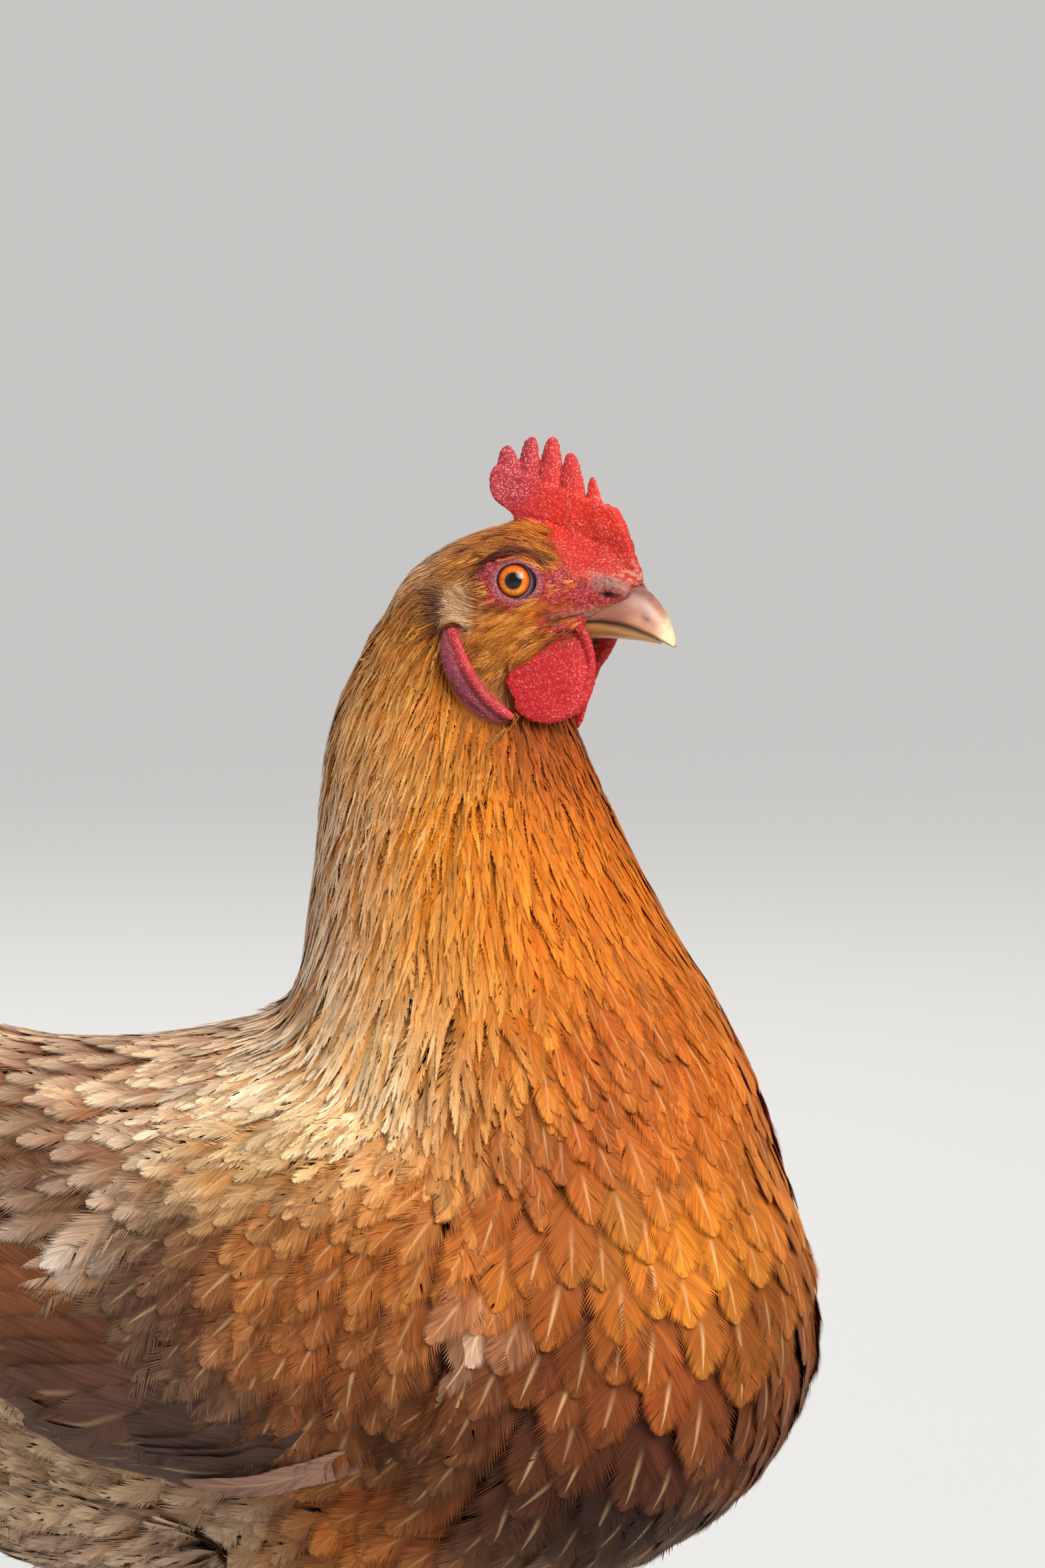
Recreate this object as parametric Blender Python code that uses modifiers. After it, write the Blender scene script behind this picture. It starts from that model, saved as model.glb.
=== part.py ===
"""A standing hen of a brown laying breed, life size, as separate named solids.

The bird faces +X, its left is +Y and +Z is up. Tables are in millimetres, measured
from a point in the middle of the neck, and the finished bird is set down with the
middle of its box over the origin and its soles at z = 0.
"""

import math

import bmesh
import bpy
from mathutils import Matrix, Vector

MM = 0.001
GAP = 0.3 * MM  # between one solid and the next
ROOM = 0.45 * MM  # how much wider a cutter is made, so that its sharp rims also keep the gap
GROUND = -8.0  # the height of the soles in the tables below

# Rings across the trunk: x, height of the back, height of the belly, half width
TRUNK = [
    (-199, 266, 226, 12),
    (-187, 261, 193, 28),
    (-170, 250, 160, 42),
    (-150, 242, 138, 56),
    (-125, 239, 120, 68),
    (-90, 242, 105, 77),
    (-50, 251, 97, 81),
    (-10, 255, 92, 81),
    (30, 250, 94, 78),
    (60, 235, 107, 67),
    (80, 215, 124, 51),
    (93, 190, 145, 28),
]
# Level rings up the breast and neck: z, x of the back, x of the front, half width
NECK = [
    (118, 14, 73, 30),
    (133, 4, 86.5, 48),
    (152, -10, 95, 63),
    (176, -25, 96, 74),
    (200, -40, 90.5, 74),
    (221, -50, 84.5, 69),
    (240, -53, 78.5, 59),
    (264, -47, 66.5, 46),
    (279, -45, 56.5, 39),
    (300, -43, 45.5, 32),
    (324, -41, 34.5, 25),
    (341, -36, 27, 20),
    (356, -27, 20, 16.5),
    (368, -17, 12, 12.5),
]
# Rings across the head: x, height of the crown, height of the throat, half width
HEAD = [
    (-21, 364, 350, 9),
    (-15, 373, 344, 14.5),
    (-6, 380, 338, 17),
    (5, 384.5, 336.5, 18),
    (15, 387, 339, 17.5),
    (25, 386, 345.5, 15.5),
    (35, 381, 351, 12.5),
    (43, 376, 359.5, 9.6),
    (50, 371.5, 365.5, 6.2),
]
HEAD_CUT = (5, 340, 20)  # x, z and slope in degrees of the cut between head and neck
NECK_CUT = (-50, 252, 18.5)  # and of the cut between neck and trunk

# The comb's outline in the bird's middle plane: its points and the notches between them
COMB_EDGE = [
    (18, 382), (13.5, 389), (8.6, 393), (7.4, 398.5), (9.8, 403),
    (11.8, 408), (14.2, 407.4), (15.3, 403.6), (16.6, 408), (18.9, 410.3), (20.6, 407.6),
    (20.8, 401.6), (22.6, 407.6), (24.8, 410.3), (27.2, 406.6), (27.8, 399.6),
    (29, 404), (30.8, 406), (33, 402.6), (34.8, 393.4), (36, 397.6), (37, 399.4),
    (38.4, 396), (39.2, 392.8), (42.4, 391.4), (45.6, 386.4), (48.2, 378),
    (50.4, 371.6), (46, 368), (34, 374),
]
COMB_THICK = 3.2

EYE_RADIUS = 6.2
EYE_CENTRE = (18.3, 10.6, 371)

# Across the bill: x, culmen, cutting edge, underside of the lower bill, half width
BILL = [
    (36, 370.5, 360.2, 353.2, 10.6),
    (42.5, 371.0, 360.4, 353.8, 8.8),
    (48, 370.5, 359.2, 354.2, 7.1),
    (52, 368.6, 357.6, 354.2, 5.7),
    (55, 365.8, 356.0, 353.9, 4.5),
    (57.6, 362.2, 354.6, 353.8, 3.1),
    (59.2, 358.6, 353.6, 353.2, 1.8),
    (60.2, 355.8, 353.2, 353.1, 0.8),
]
LOWER_BILL_END = 55.5
BILL_INSET = 0.7  # how far the lower bill's sides lie inside the upper bill's

WATTLE = {"centre": (28, 12, 348.5), "width": 25.5, "height": 31, "thick": 3.4, "splay": 7, "toe_in": -12}
EARLOBE = {"centre": (8.8, 17.6, 346), "width": 11, "height": 31, "thick": 6.0, "rake": -38}

# Along the folded wing: x, and the angles from the top of the back to its two edges
WING = [
    (30, 78, 92),
    (26, 62, 104),
    (17, 50, 114),
    (0, 40, 122),
    (-30, 36, 127),
    (-70, 40, 124),
    (-105, 48, 112),
    (-135, 58, 99),
    (-160, 67, 93),
    (-176, 75, 90),
]
WING_PROUD = 8.0
WING_DEEP = 5.0

TAIL_ROOT = (-166, 0, 234)
TAIL = {
    "pairs": 7, "width": 28, "thick": 2.8,
    "length": (132, 104), "rise": (52, 14), "spread": (3, 24), "lean": (8, 44),
    "core": (-198, 9, 243), "core_radii": (45, 14, 27),  # the coverts that fill each fan's foot
}

HIP_SIDE = 37.0  # how far each leg stands from the middle
# Down the feathered thigh: x, z, radius
THIGH = [(10, 156, 32), (-2, 136, 36), (-18, 116, 33.5), (-34, 101, 26), (-48, 91, 17), (-58, 83, 9.2)]
HOCK = (-59, 86)
BALL = (-30, GROUND + 9.5)
SHANK_RADIUS = (6.4, 5.0, 5.2, 6.4)  # from hock to foot
STRIDE = 9.0  # the right foot stands this much ahead of the left
# Each toe: turn from straight ahead towards the middle of the bird, length, root radius
TOES = {
    "inner": (36, 40, 4.7),
    "middle": (2, 52, 5.0),
    "outer": (-34, 42, 4.7),
    "hind": (168, 20, 4.2),
}
CLAW_LENGTH = 11.0

COLOURS = {  # colour, roughness
    "plumage": ((0.62, 0.26, 0.06), 0.7),
    "bare_skin": ((0.62, 0.04, 0.04), 0.45),
    "horn": ((0.62, 0.36, 0.2), 0.3),
    "eye": ((0.75, 0.27, 0.03), 0.1),
    "leg_scale": ((0.75, 0.5, 0.16), 0.5),
}


def clear_scene():
    for obj in list(bpy.data.objects):
        bpy.data.objects.remove(obj)


def make_collection(name):
    made = bpy.data.collections.new(name)
    bpy.context.scene.collection.children.link(made)
    return made


def make_material(name):
    colour, roughness = COLOURS[name]
    material = bpy.data.materials.new(name)
    material.use_nodes = True
    shader = material.node_tree.nodes["Principled BSDF"]
    shader.inputs["Base Color"].default_value = (*colour, 1)
    shader.inputs["Roughness"].default_value = roughness
    return material


def smooth_through(rows, steps, closed=False):
    """Rows read from a smooth curve through the given rows, with so many steps between each two."""
    count = len(rows)
    spans = count if closed else count - 1
    found = []
    for i in range(spans):
        places = [(i + k) % count if closed else min(max(i + k, 0), count - 1) for k in (-1, 0, 1, 2)]
        near = [rows[place] for place in places]
        for step in range(steps):
            t = step / steps
            found.append(tuple(
                0.5 * (2 * b + (c - a) * t + (2 * a - 5 * b + 4 * c - d) * t**2 + (3 * b - a - 3 * c + d) * t**3)
                for a, b, c, d in zip(*near)
            ))
    if not closed:
        found.append(tuple(rows[-1]))
    return found


def loft(name, rings):
    """A closed mesh object through rings of equally many points, in millimetres."""
    mesh = bmesh.new()
    laid = [[mesh.verts.new(Vector(point) * MM) for point in ring] for ring in rings]
    size = len(laid[0])
    for low, high in zip(laid, laid[1:]):
        for k in range(size):
            mesh.faces.new((low[k], low[(k + 1) % size], high[(k + 1) % size], high[k]))
    mesh.faces.new(laid[0])
    mesh.faces.new(laid[-1])
    bmesh.ops.recalc_face_normals(mesh, faces=mesh.faces)
    return finished(name, mesh)


def finished(name, mesh):
    data = bpy.data.meshes.new(name)
    mesh.to_mesh(data)
    mesh.free()
    return bpy.data.objects.new(name, data)


def ellipse(count, power=2.0):
    """Points round a circle of radius 1, fuller than a circle where power is over 2."""
    for k in range(count):
        angle = 2 * math.pi * k / count
        c, s = math.cos(angle), math.sin(angle)
        yield (math.copysign(abs(c) ** (2 / power), c), math.copysign(abs(s) ** (2 / power), s))


def loft_along(name, table, steps=3, count=28, power=2.2):
    """Upright rings along x, from rows of x, top, bottom and half width."""
    return loft(name, [
        [(x, c * half, (top + bottom) / 2 + s * (top - bottom) / 2) for c, s in ellipse(count, power)]
        for x, top, bottom, half in smooth_through(table, steps)
    ])


def loft_up(name, table, steps=3, count=28):
    """Level rings up z, from rows of z, back, front and half width."""
    return loft(name, [
        [((front + back) / 2 + c * (front - back) / 2, s * half, z) for c, s in ellipse(count)]
        for z, back, front, half in smooth_through(table, steps)
    ])


def applied(obj, name=None):
    """A plain mesh object with the modifiers of obj applied, in place of obj."""
    bpy.context.scene.collection.objects.link(obj)
    bpy.context.view_layer.update()
    graph = bpy.context.evaluated_depsgraph_get()
    data = bpy.data.meshes.new_from_object(obj.evaluated_get(graph))
    data.transform(obj.matrix_world)
    name = name or obj.name
    bpy.data.objects.remove(obj)
    return bpy.data.objects.new(name, data)


def fused(name, pieces, voxel, smoothing, triangles):
    """One smooth skin round several closed meshes that overlap, thinned to about so many triangles."""
    mesh = bmesh.new()
    for piece in pieces:
        mesh.from_mesh(piece.data)
    obj = finished(name, mesh)
    remesh = obj.modifiers.new("fuse", "REMESH")
    remesh.mode = "VOXEL"
    remesh.voxel_size = voxel * MM
    smooth = obj.modifiers.new("smooth", "SMOOTH")
    smooth.factor = 0.5
    smooth.iterations = smoothing
    obj = applied(obj)
    made = sum(len(face.vertices) - 2 for face in obj.data.polygons)
    thin = obj.modifiers.new("thin", "DECIMATE")
    thin.ratio = min(1.0, triangles / made)
    return applied(obj)


def half_of(name, source, cut, above):
    """The part of a mesh above or below a sloping cut, closed where it was cut."""
    x, z, slope = cut
    tilt = math.radians(slope)
    normal = Vector((math.sin(tilt), 0, math.cos(tilt)))
    point = Vector((x, 0, z)) * MM + normal * (GAP / 2 if above else -GAP / 2)
    return sliced(name, source, point, normal if above else -normal)


def sliced(name, source, point, keep_towards):
    mesh = bmesh.new()
    mesh.from_mesh(source.data)
    whole = mesh.verts[:] + mesh.edges[:] + mesh.faces[:]
    bmesh.ops.bisect_plane(mesh, geom=whole, plane_co=point, plane_no=-keep_towards, clear_outer=True)
    rim = [edge for edge in mesh.edges if edge.is_boundary]
    bmesh.ops.holes_fill(mesh, edges=rim, sides=0)
    bmesh.ops.triangulate(mesh, faces=[face for face in mesh.faces if len(face.verts) > 4])
    bmesh.ops.recalc_face_normals(mesh, faces=mesh.faces)
    return finished(name, mesh)


def largest_body(obj):
    """Drops all but the largest connected piece of a mesh."""
    mesh = bmesh.new()
    mesh.from_mesh(obj.data)
    left = set(mesh.verts)
    bodies = []
    while left:
        stack = [left.pop()]
        body = set(stack)
        while stack:
            for edge in stack.pop().link_edges:
                for vert in edge.verts:
                    if vert in left:
                        left.remove(vert)
                        body.add(vert)
                        stack.append(vert)
        bodies.append(body)
    keep = max(bodies, key=len)
    bmesh.ops.delete(mesh, geom=[v for v in mesh.verts if v not in keep], context="VERTS")
    mesh.to_mesh(obj.data)
    mesh.free()
    return obj


def cut_clear(source, *others):
    """A copy of source with room cut in it for each of the others, and a thin gap round them."""
    obj = bpy.data.objects.new(source.name, source.data.copy())
    cutters = []
    for other in others:
        mesh = bmesh.new()
        mesh.from_mesh(other.data)
        mesh.normal_update()
        offsets = [vert.normal * ROOM * min(max(vert.calc_shell_factor(), 1.0), 2.5) for vert in mesh.verts]
        for vert, offset in zip(mesh.verts, offsets):
            vert.co += offset
        cutter = finished("cutter", mesh)
        bpy.context.scene.collection.objects.link(cutter)
        boolean = obj.modifiers.new("room", "BOOLEAN")
        boolean.operation = "DIFFERENCE"
        boolean.object = cutter
        cutters.append(cutter)
    made = applied(obj)
    for cutter in cutters:
        bpy.data.objects.remove(cutter)
    return largest_body(made)


def tube(name, points, radii, flat_sole=False, roundness=2):
    """A round tapering limb through points in millimetres."""
    curve = bpy.data.curves.new(name, "CURVE")
    curve.dimensions = "3D"
    curve.bevel_depth = MM
    curve.bevel_resolution = roundness
    curve.use_fill_caps = True
    spline = curve.splines.new("POLY")
    spline.points.add(len(points) - 1)
    for place, point, radius in zip(spline.points, points, radii):
        place.co = (*(Vector(point) * MM), 1)
        place.radius = radius
    obj = applied(bpy.data.objects.new(name, curve))
    mesh = bmesh.new()
    mesh.from_mesh(obj.data)
    bmesh.ops.remove_doubles(mesh, verts=mesh.verts, dist=0.01 * MM)
    bmesh.ops.recalc_face_normals(mesh, faces=mesh.faces)
    obj = finished(name, mesh)
    if flat_sole:
        obj = sliced(name, obj, Vector((0, 0, GROUND * MM)), Vector((0, 0, 1)))
    return obj


def ball(name, centre, radii, turn=(0, 0, 0), across=16, along=10):
    """An ellipsoid, turned by angles in degrees about x, y and z."""
    mesh = bmesh.new()
    bmesh.ops.create_uvsphere(mesh, u_segments=across, v_segments=along, radius=MM)
    turned = Matrix.Rotation(math.radians(turn[2]), 4, "Z") @ Matrix.Rotation(math.radians(turn[1]), 4, "Y")
    turned = turned @ Matrix.Rotation(math.radians(turn[0]), 4, "X")
    place = Matrix.Translation(Vector(centre) * MM) @ turned @ Matrix.Diagonal((*radii, 1))
    bmesh.ops.transform(mesh, matrix=place, verts=mesh.verts)
    return finished(name, mesh)


def make_body():
    """Head, neck and trunk, parted from one shape by thin cuts."""
    trunk, neck, head = loft_along("t", TRUNK), loft_up("n", NECK), loft_along("h", HEAD, count=24)
    large = fused("large", [trunk, neck], 4.0, 6, 1330)
    small = fused("small", [neck, head], 1.6, 5, 1850)
    return {
        "head": half_of("head", small, HEAD_CUT, above=True),
        "neck": half_of("neck", half_of("n", large, HEAD_CUT, above=False), NECK_CUT, above=True),
        "trunk": half_of("trunk", large, NECK_CUT, above=False),
    }


def make_comb():
    """A flat blade with rounded points, thicker at its foot."""
    outline = smooth_through(COMB_EDGE, 3, closed=True)
    curve = bpy.data.curves.new("comb", "CURVE")
    curve.dimensions = "2D"
    curve.fill_mode = "BOTH"
    curve.extrude = COMB_THICK / 2 * MM
    spline = curve.splines.new("POLY")
    spline.points.add(len(outline) - 1)
    for place, (x, z) in zip(spline.points, outline):
        place.co = (x * MM, z * MM, 0, 1)
    spline.use_cyclic_u = True
    upright = bpy.data.objects.new("comb", curve)
    upright.rotation_euler = (math.pi / 2, 0, 0)
    blade = applied(upright)
    foot = tube("foot", [(17, 0, 384.5), (30, 0, 381), (40, 0, 376), (48, 0, 370)], [3.0, 4.0, 3.8, 2.6])
    made = fused("comb", [blade, foot], 0.7, 2, 600)
    for vert in made.data.vertices:
        vert.co.y += 0.8 * MM * math.sin((vert.co.x / MM - 8) / 7.0)
    return made


def make_wattle(side):
    """A rounded lobe, widest low down, hung from the jaw."""
    made = ball("wattle", (0, 0, 0), (WATTLE["width"] / 2, WATTLE["thick"] / 2, WATTLE["height"] / 2))
    for vert in made.data.vertices:
        down = 0.5 - vert.co.z / (WATTLE["height"] * MM)
        vert.co.x *= 0.72 + 0.42 * down
        vert.co.x += 1.6 * MM * (1 - down)
        vert.co.y += side * 1.2 * MM * math.sin(2.6 * down)
    x, y, z = WATTLE["centre"]
    turn = Matrix.Rotation(math.radians(side * WATTLE["toe_in"]), 4, "Z")
    splay = Matrix.Rotation(math.radians(side * WATTLE["splay"]), 4, "X")
    made.data.transform(Matrix.Translation(Vector((x, side * y, z)) * MM) @ turn @ splay)
    return made


def make_earlobe(side):
    """A long folded lobe behind the cheek, lying back along the neck."""
    made = ball(
        "earlobe", (0, 0, 0), (EARLOBE["width"] / 2, EARLOBE["thick"] / 2, EARLOBE["height"] / 2), across=14, along=9
    )
    for vert in made.data.vertices:
        along = vert.co.z / (EARLOBE["height"] / 2 * MM)
        vert.co.x += 2.0 * MM * along**2
        vert.co.y += side * 1.5 * MM * math.cos(vert.co.x / MM * 0.9)
    x, y, z = EARLOBE["centre"]
    rake = Matrix.Rotation(math.radians(EARLOBE["rake"]), 4, "Y")
    lean = Matrix.Rotation(math.radians(side * -4), 4, "X")
    made.data.transform(Matrix.Translation(Vector((x, side * y, z)) * MM) @ lean @ rake)
    return made


def make_bill():
    """The upper bill arched over the lower one, shut, with its tip hooked down past it."""
    rows = smooth_through(BILL, 2)
    arch = [(math.cos(math.pi * k / 8), math.sin(math.pi * k / 8) ** 0.8) for k in range(9)]
    upper, lower = [], []
    for x, culmen, edge, under, half in rows:
        upper.append([(x, c * half, edge + s * (culmen - edge)) for c, s in arch])
        if x < LOWER_BILL_END:
            inner, roof = half - BILL_INSET, edge - GAP / MM
            deep = max(roof - under, 0.8)
            lower.append([(x, c * inner, roof - s * deep) for c, s in arch])
    return {"bill_upper": loft("bill_upper", upper), "bill_lower": loft("bill_lower", lower)}


def trunk_at(x):
    """Middle height, half height and half width of the trunk at x."""
    rows = smooth_through(TRUNK, 12)
    _, top, bottom, half = min(rows, key=lambda row: abs(row[0] - x))
    return (top + bottom) / 2, (top - bottom) / 2, half


def make_wing(side):
    """A crescent laid on the trunk's side: blunt at the wrist and drawn out to the wing tip."""
    rings = []
    for x, first, last in smooth_through(WING, 2):
        middle, tall, wide = trunk_at(x)
        count = 6
        outer, inner = [], []
        for k in range(count + 1):
            share = k / count
            angle = math.radians(first + (last - first) * share)
            lens = math.sqrt(max(0.0, 1 - (2 * share - 1) ** 2))
            for line, proud in ((outer, WING_PROUD * lens), (inner, -WING_DEEP * lens)):
                line.append((x, side * (wide + proud) * math.sin(angle), middle + (tall + proud) * math.cos(angle)))
        rings.append(outer + inner[-2:0:-1])
    return loft("wing", rings)


def make_tail():
    """Main tail feathers in two leaning fans that meet along the top."""
    blades = []
    for side in (1, -1):
        for i in range(TAIL["pairs"]):
            share = i / (TAIL["pairs"] - 1)
            length, rise, spread, lean = (
                TAIL[key][0] + (TAIL[key][1] - TAIL[key][0]) * share
                for key in ("length", "rise", "spread", "lean")
            )
            rings = []
            for step in range(9):
                along = step / 8
                half = TAIL["width"] / 2 * (0.45 + 0.55 * math.sin(math.pi * min(1, along * 0.62 + 0.02)))
                half *= math.sqrt(max(0.06, 1 - max(0, (along - 0.8) / 0.2) ** 2))
                droop = -7 * along**2
                thick = TAIL["thick"] / 2
                rings.append([
                    (-length * along, c * thick + side * droop * 0.5, s * half + droop) for c, s in ellipse(10)
                ])
            blade = loft("blade", rings)
            turn = Matrix.Rotation(math.radians(-side * spread), 4, "Z")
            aim = turn @ Matrix.Rotation(math.radians(rise), 4, "Y")
            roll = Matrix.Rotation(math.radians(-side * lean), 4, "X")
            root = Vector((TAIL_ROOT[0], side * (1.5 + 10 * share), TAIL_ROOT[2] - 16 * share)) * MM
            blade.data.transform(Matrix.Translation(root) @ aim @ roll)
            blades.append(blade)
        x, y, z = TAIL["core"]
        blades.append(ball("core", (x, side * y, z), TAIL["core_radii"], turn=(0, 33, -side * 14)))
    return fused("tail", blades, 1.3, 2, 770)


def make_leg(side, name):
    """Thigh, shank, foot, toes and claws of one leg, set down flat on the ground."""
    ahead = STRIDE / 2 if side < 0 else -STRIDE / 2
    y = side * HIP_SIDE
    leg = {}
    rows = smooth_through(THIGH, 2)
    rings = []
    for i, (x, z, radius) in enumerate(rows):
        before, after = rows[max(i - 1, 0)], rows[min(i + 1, len(rows) - 1)]
        run = Vector((after[0] - before[0], 0, after[1] - before[1])).normalized()
        out = Vector((-run.z, 0, run.x))
        shift = ahead * i / (len(rows) - 1)
        rings.append([
            (x + shift + c * radius * out.x, y + s * radius * 0.85, z + c * radius * out.z)
            for c, s in ellipse(12)
        ])
    leg[f"thigh_{name}"] = loft("thigh", rings)
    hock = Vector((HOCK[0] + ahead, y, HOCK[1]))
    foot = Vector((BALL[0] + ahead, y, BALL[1]))
    line = [hock + Vector((3, 0, 9)), hock]
    line += [hock.lerp(foot, share) for share in (0.15, 0.6, 0.92, 1)]
    first, thin, low, end = SHANK_RADIUS
    leg[f"shank_{name}"] = tube("shank", line, [first * 0.8, first * 1.15, thin * 1.1, thin, low, end])
    sole = ball("foot", foot - Vector((0, 0, 3.4)), (8.8, 7.8, 7.4), across=12, along=8)
    leg[f"foot_{name}"] = sliced("foot", sole, Vector((0, 0, GROUND * MM)), Vector((0, 0, 1)))
    for toe, (turn, length, radius) in TOES.items():
        heading = math.radians(-side * turn)
        aim = Vector((math.cos(heading), math.sin(heading), 0))
        start = foot + aim * 3 + Vector((0, 0, -1.5 if toe != "hind" else 1.5))
        points, radii = [], []
        for step in range(7):
            along = step / 6
            arch = 2.2 * math.sin(math.pi * along) if toe != "hind" else -1.0 * along
            height = (1 - along) * (start.z - GROUND) + along * (radius * 0.66) + arch * 0.5
            points.append((*(start + aim * length * along).xy, GROUND + height))
            pad = 1 + 0.07 * math.cos(6 * math.pi * along)
            radii.append(radius * (1 - 0.3 * along) * pad)
        leg[f"toe_{name}_{toe}"] = tube("toe", points, radii, flat_sole=True, roundness=1)
        tip = Vector(points[-1])
        bend = [
            tip + aim * CLAW_LENGTH * t + Vector((0, 0, 1.3 * math.sin(2.2 * t) - 2.6 * t**2 + 0.4))
            for t in (-0.25, 0.1, 0.4, 0.7, 1)
        ]
        leg[f"claw_{name}_{toe}"] = tube("claw", bend, [2.3, 2.4, 1.9, 1.2, 0.45], roundness=1)
    return leg


def cut_leg(whole, name, trunk):
    """The pieces of a leg, each with room for the piece that it grows from."""
    thigh, shank, foot = (whole[f"{part}_{name}"] for part in ("thigh", "shank", "foot"))
    cut = {
        f"thigh_{name}": cut_clear(thigh, trunk),
        f"shank_{name}": cut_clear(shank, thigh),
        f"foot_{name}": cut_clear(foot, shank),
    }
    placed = []
    for toe in TOES:
        key = f"toe_{name}_{toe}"
        cut[key] = cut_clear(whole[key], shank, foot, *placed)
        placed.append(whole[key])
        claw = f"claw_{name}_{toe}"
        cut[claw] = cut_clear(whole[claw], whole[key])
    return cut


def make_hen():
    """All the hen's solids by node name, each clear of its neighbours."""
    body = make_body()
    bill = make_bill()
    head, neck, trunk = body["head"], body["neck"], body["trunk"]
    eyes = {}
    for side, name in ((1, "left"), (-1, "right")):
        x, y, z = EYE_CENTRE
        eyes[f"eye_{name}"] = ball("eye", (x, side * y, z), (EYE_RADIUS,) * 3, across=12, along=9)
    solids = {**body, **bill, **eyes}
    solids["head"] = cut_clear(head, *eyes.values(), *bill.values())
    solids["comb"] = cut_clear(make_comb(), head, bill["bill_upper"])
    for side, name in ((1, "left"), (-1, "right")):
        earlobe = make_earlobe(side)
        solids[f"earlobe_{name}"] = cut_clear(earlobe, head, neck)
        solids[f"wattle_{name}"] = cut_clear(make_wattle(side), head, earlobe, *bill.values())
        solids[f"wing_{name}"] = cut_clear(make_wing(side), trunk, neck)
        solids.update(cut_leg(make_leg(side, name), name, trunk))
    solids["tail"] = cut_clear(make_tail(), trunk, solids["wing_left"], solids["wing_right"])
    return solids


def slot_of(node):
    if node.startswith(("comb", "wattle", "earlobe")):
        return "bare_skin"
    if node.startswith(("bill", "claw")):
        return "horn"
    if node.startswith("eye"):
        return "eye"
    if node.startswith(("shank", "foot", "toe")):
        return "leg_scale"
    return "plumage"


def set_down(solids):
    """Puts the middle of the whole bird's box over the origin, with its soles at z = 0."""
    corners = [vert.co for obj in solids.values() for vert in obj.data.vertices]
    low = Vector(min(corner[k] for corner in corners) for k in range(3))
    high = Vector(max(corner[k] for corner in corners) for k in range(3))
    return Matrix.Translation((-(low.x + high.x) / 2, -(low.y + high.y) / 2, -low.z))


def main():
    clear_scene()
    hen = make_collection("hen")
    materials = {name: make_material(name) for name in COLOURS}
    solids = make_hen()
    for obj in set(bpy.data.objects) - set(solids.values()):
        bpy.data.objects.remove(obj)
    place = set_down(solids)
    for node, obj in solids.items():
        obj.name = node
        obj.data.name = node
        obj.data.transform(place)
        obj.data.materials.clear()
        obj.data.materials.append(materials[slot_of(node)])
        obj.data.shade_smooth()
        obj.data.set_sharp_from_angle(angle=math.radians(40))
        hen.objects.link(obj)


main()
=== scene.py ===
import math
from itertools import product

import bmesh
import bpy
import numpy as np
from mathutils import Matrix, Vector, noise
from mathutils.bvhtree import BVHTree


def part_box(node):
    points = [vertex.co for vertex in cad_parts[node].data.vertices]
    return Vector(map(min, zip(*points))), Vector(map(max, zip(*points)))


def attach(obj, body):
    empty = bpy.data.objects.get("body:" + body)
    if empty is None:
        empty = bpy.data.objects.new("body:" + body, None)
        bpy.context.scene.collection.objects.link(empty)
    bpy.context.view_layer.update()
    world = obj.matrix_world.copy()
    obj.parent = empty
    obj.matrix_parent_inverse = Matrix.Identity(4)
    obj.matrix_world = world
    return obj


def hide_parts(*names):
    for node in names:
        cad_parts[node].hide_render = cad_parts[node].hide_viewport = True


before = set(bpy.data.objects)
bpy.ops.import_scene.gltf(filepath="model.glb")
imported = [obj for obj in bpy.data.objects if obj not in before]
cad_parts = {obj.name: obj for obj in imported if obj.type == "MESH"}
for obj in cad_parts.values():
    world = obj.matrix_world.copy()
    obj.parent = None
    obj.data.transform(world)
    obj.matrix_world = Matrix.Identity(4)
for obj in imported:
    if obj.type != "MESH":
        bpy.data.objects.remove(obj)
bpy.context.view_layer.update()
mm = 0.001  # metres
print("frame loaded")

# All places given below are in millimetres in the hen's own axes: x forward, y to its left, z up, with the
# right eye's centre at eyeSpot. They are moved onto the solids by the place of that eye's node.
eyeSpot = {"right": Vector((18.3, -10.6, 371)), "left": Vector((18.3, 10.6, 371))}
eyeLow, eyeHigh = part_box("eye_right")
shift = np.array((eyeLow + eyeHigh) / 2 - eyeSpot["right"] * mm)
sides = {"left": 1, "right": -1}


def toWorld(points):
    return np.asarray(points, float) * mm + shift


def toHen(points):
    return (np.asarray(points, float) - shift) / mm


def unit(vectors):
    return vectors / np.maximum(np.linalg.norm(vectors, axis=-1, keepdims=True), 1e-9)


def smoothStep(low, high, value):
    t = np.clip((value - low) / (high - low), 0, 1)
    return t * t * (3 - 2 * t)


def mixed(a, b, share):
    share = np.asarray(share)[..., None]
    return a * (1 - share) + b * share


def curved(before, here, after, later, t):
    # a smooth curve from here to after, led by the values on both sides of them
    bend, twist = 2 * before - 5 * here + 4 * after - later, 3 * here - before - 3 * after + later
    return 0.5 * (2 * here + (after - before) * t + bend * t ** 2 + twist * t ** 3)


def folded(hen):
    # both sides of the hen as one
    return np.stack([hen[:, 0], np.abs(hen[:, 1]), hen[:, 2]], 1)


def noiseAt(spots):
    return np.array([noise.noise(Vector(spot)) for spot in spots])


def linear(code):
    srgb = np.array([int(code[i:i + 2], 16) / 255 for i in (0, 2, 4)])
    return np.where(srgb <= 0.04045, srgb / 12.92, ((srgb + 0.055) / 1.055) ** 2.4)


# ---- meshes from arrays and back
def meshFrom(name, points, faces):
    mesh = bpy.data.meshes.new(name)
    mesh.vertices.add(len(points))
    mesh.vertices.foreach_set("co", np.asarray(points, np.float32).ravel())
    mesh.loops.add(faces.size)
    mesh.loops.foreach_set("vertex_index", faces.astype(np.int32).ravel())
    mesh.polygons.add(len(faces))
    mesh.polygons.foreach_set("loop_start", np.arange(0, faces.size, faces.shape[1], dtype=np.int32))
    mesh.update(calc_edges=True)
    return mesh


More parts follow.
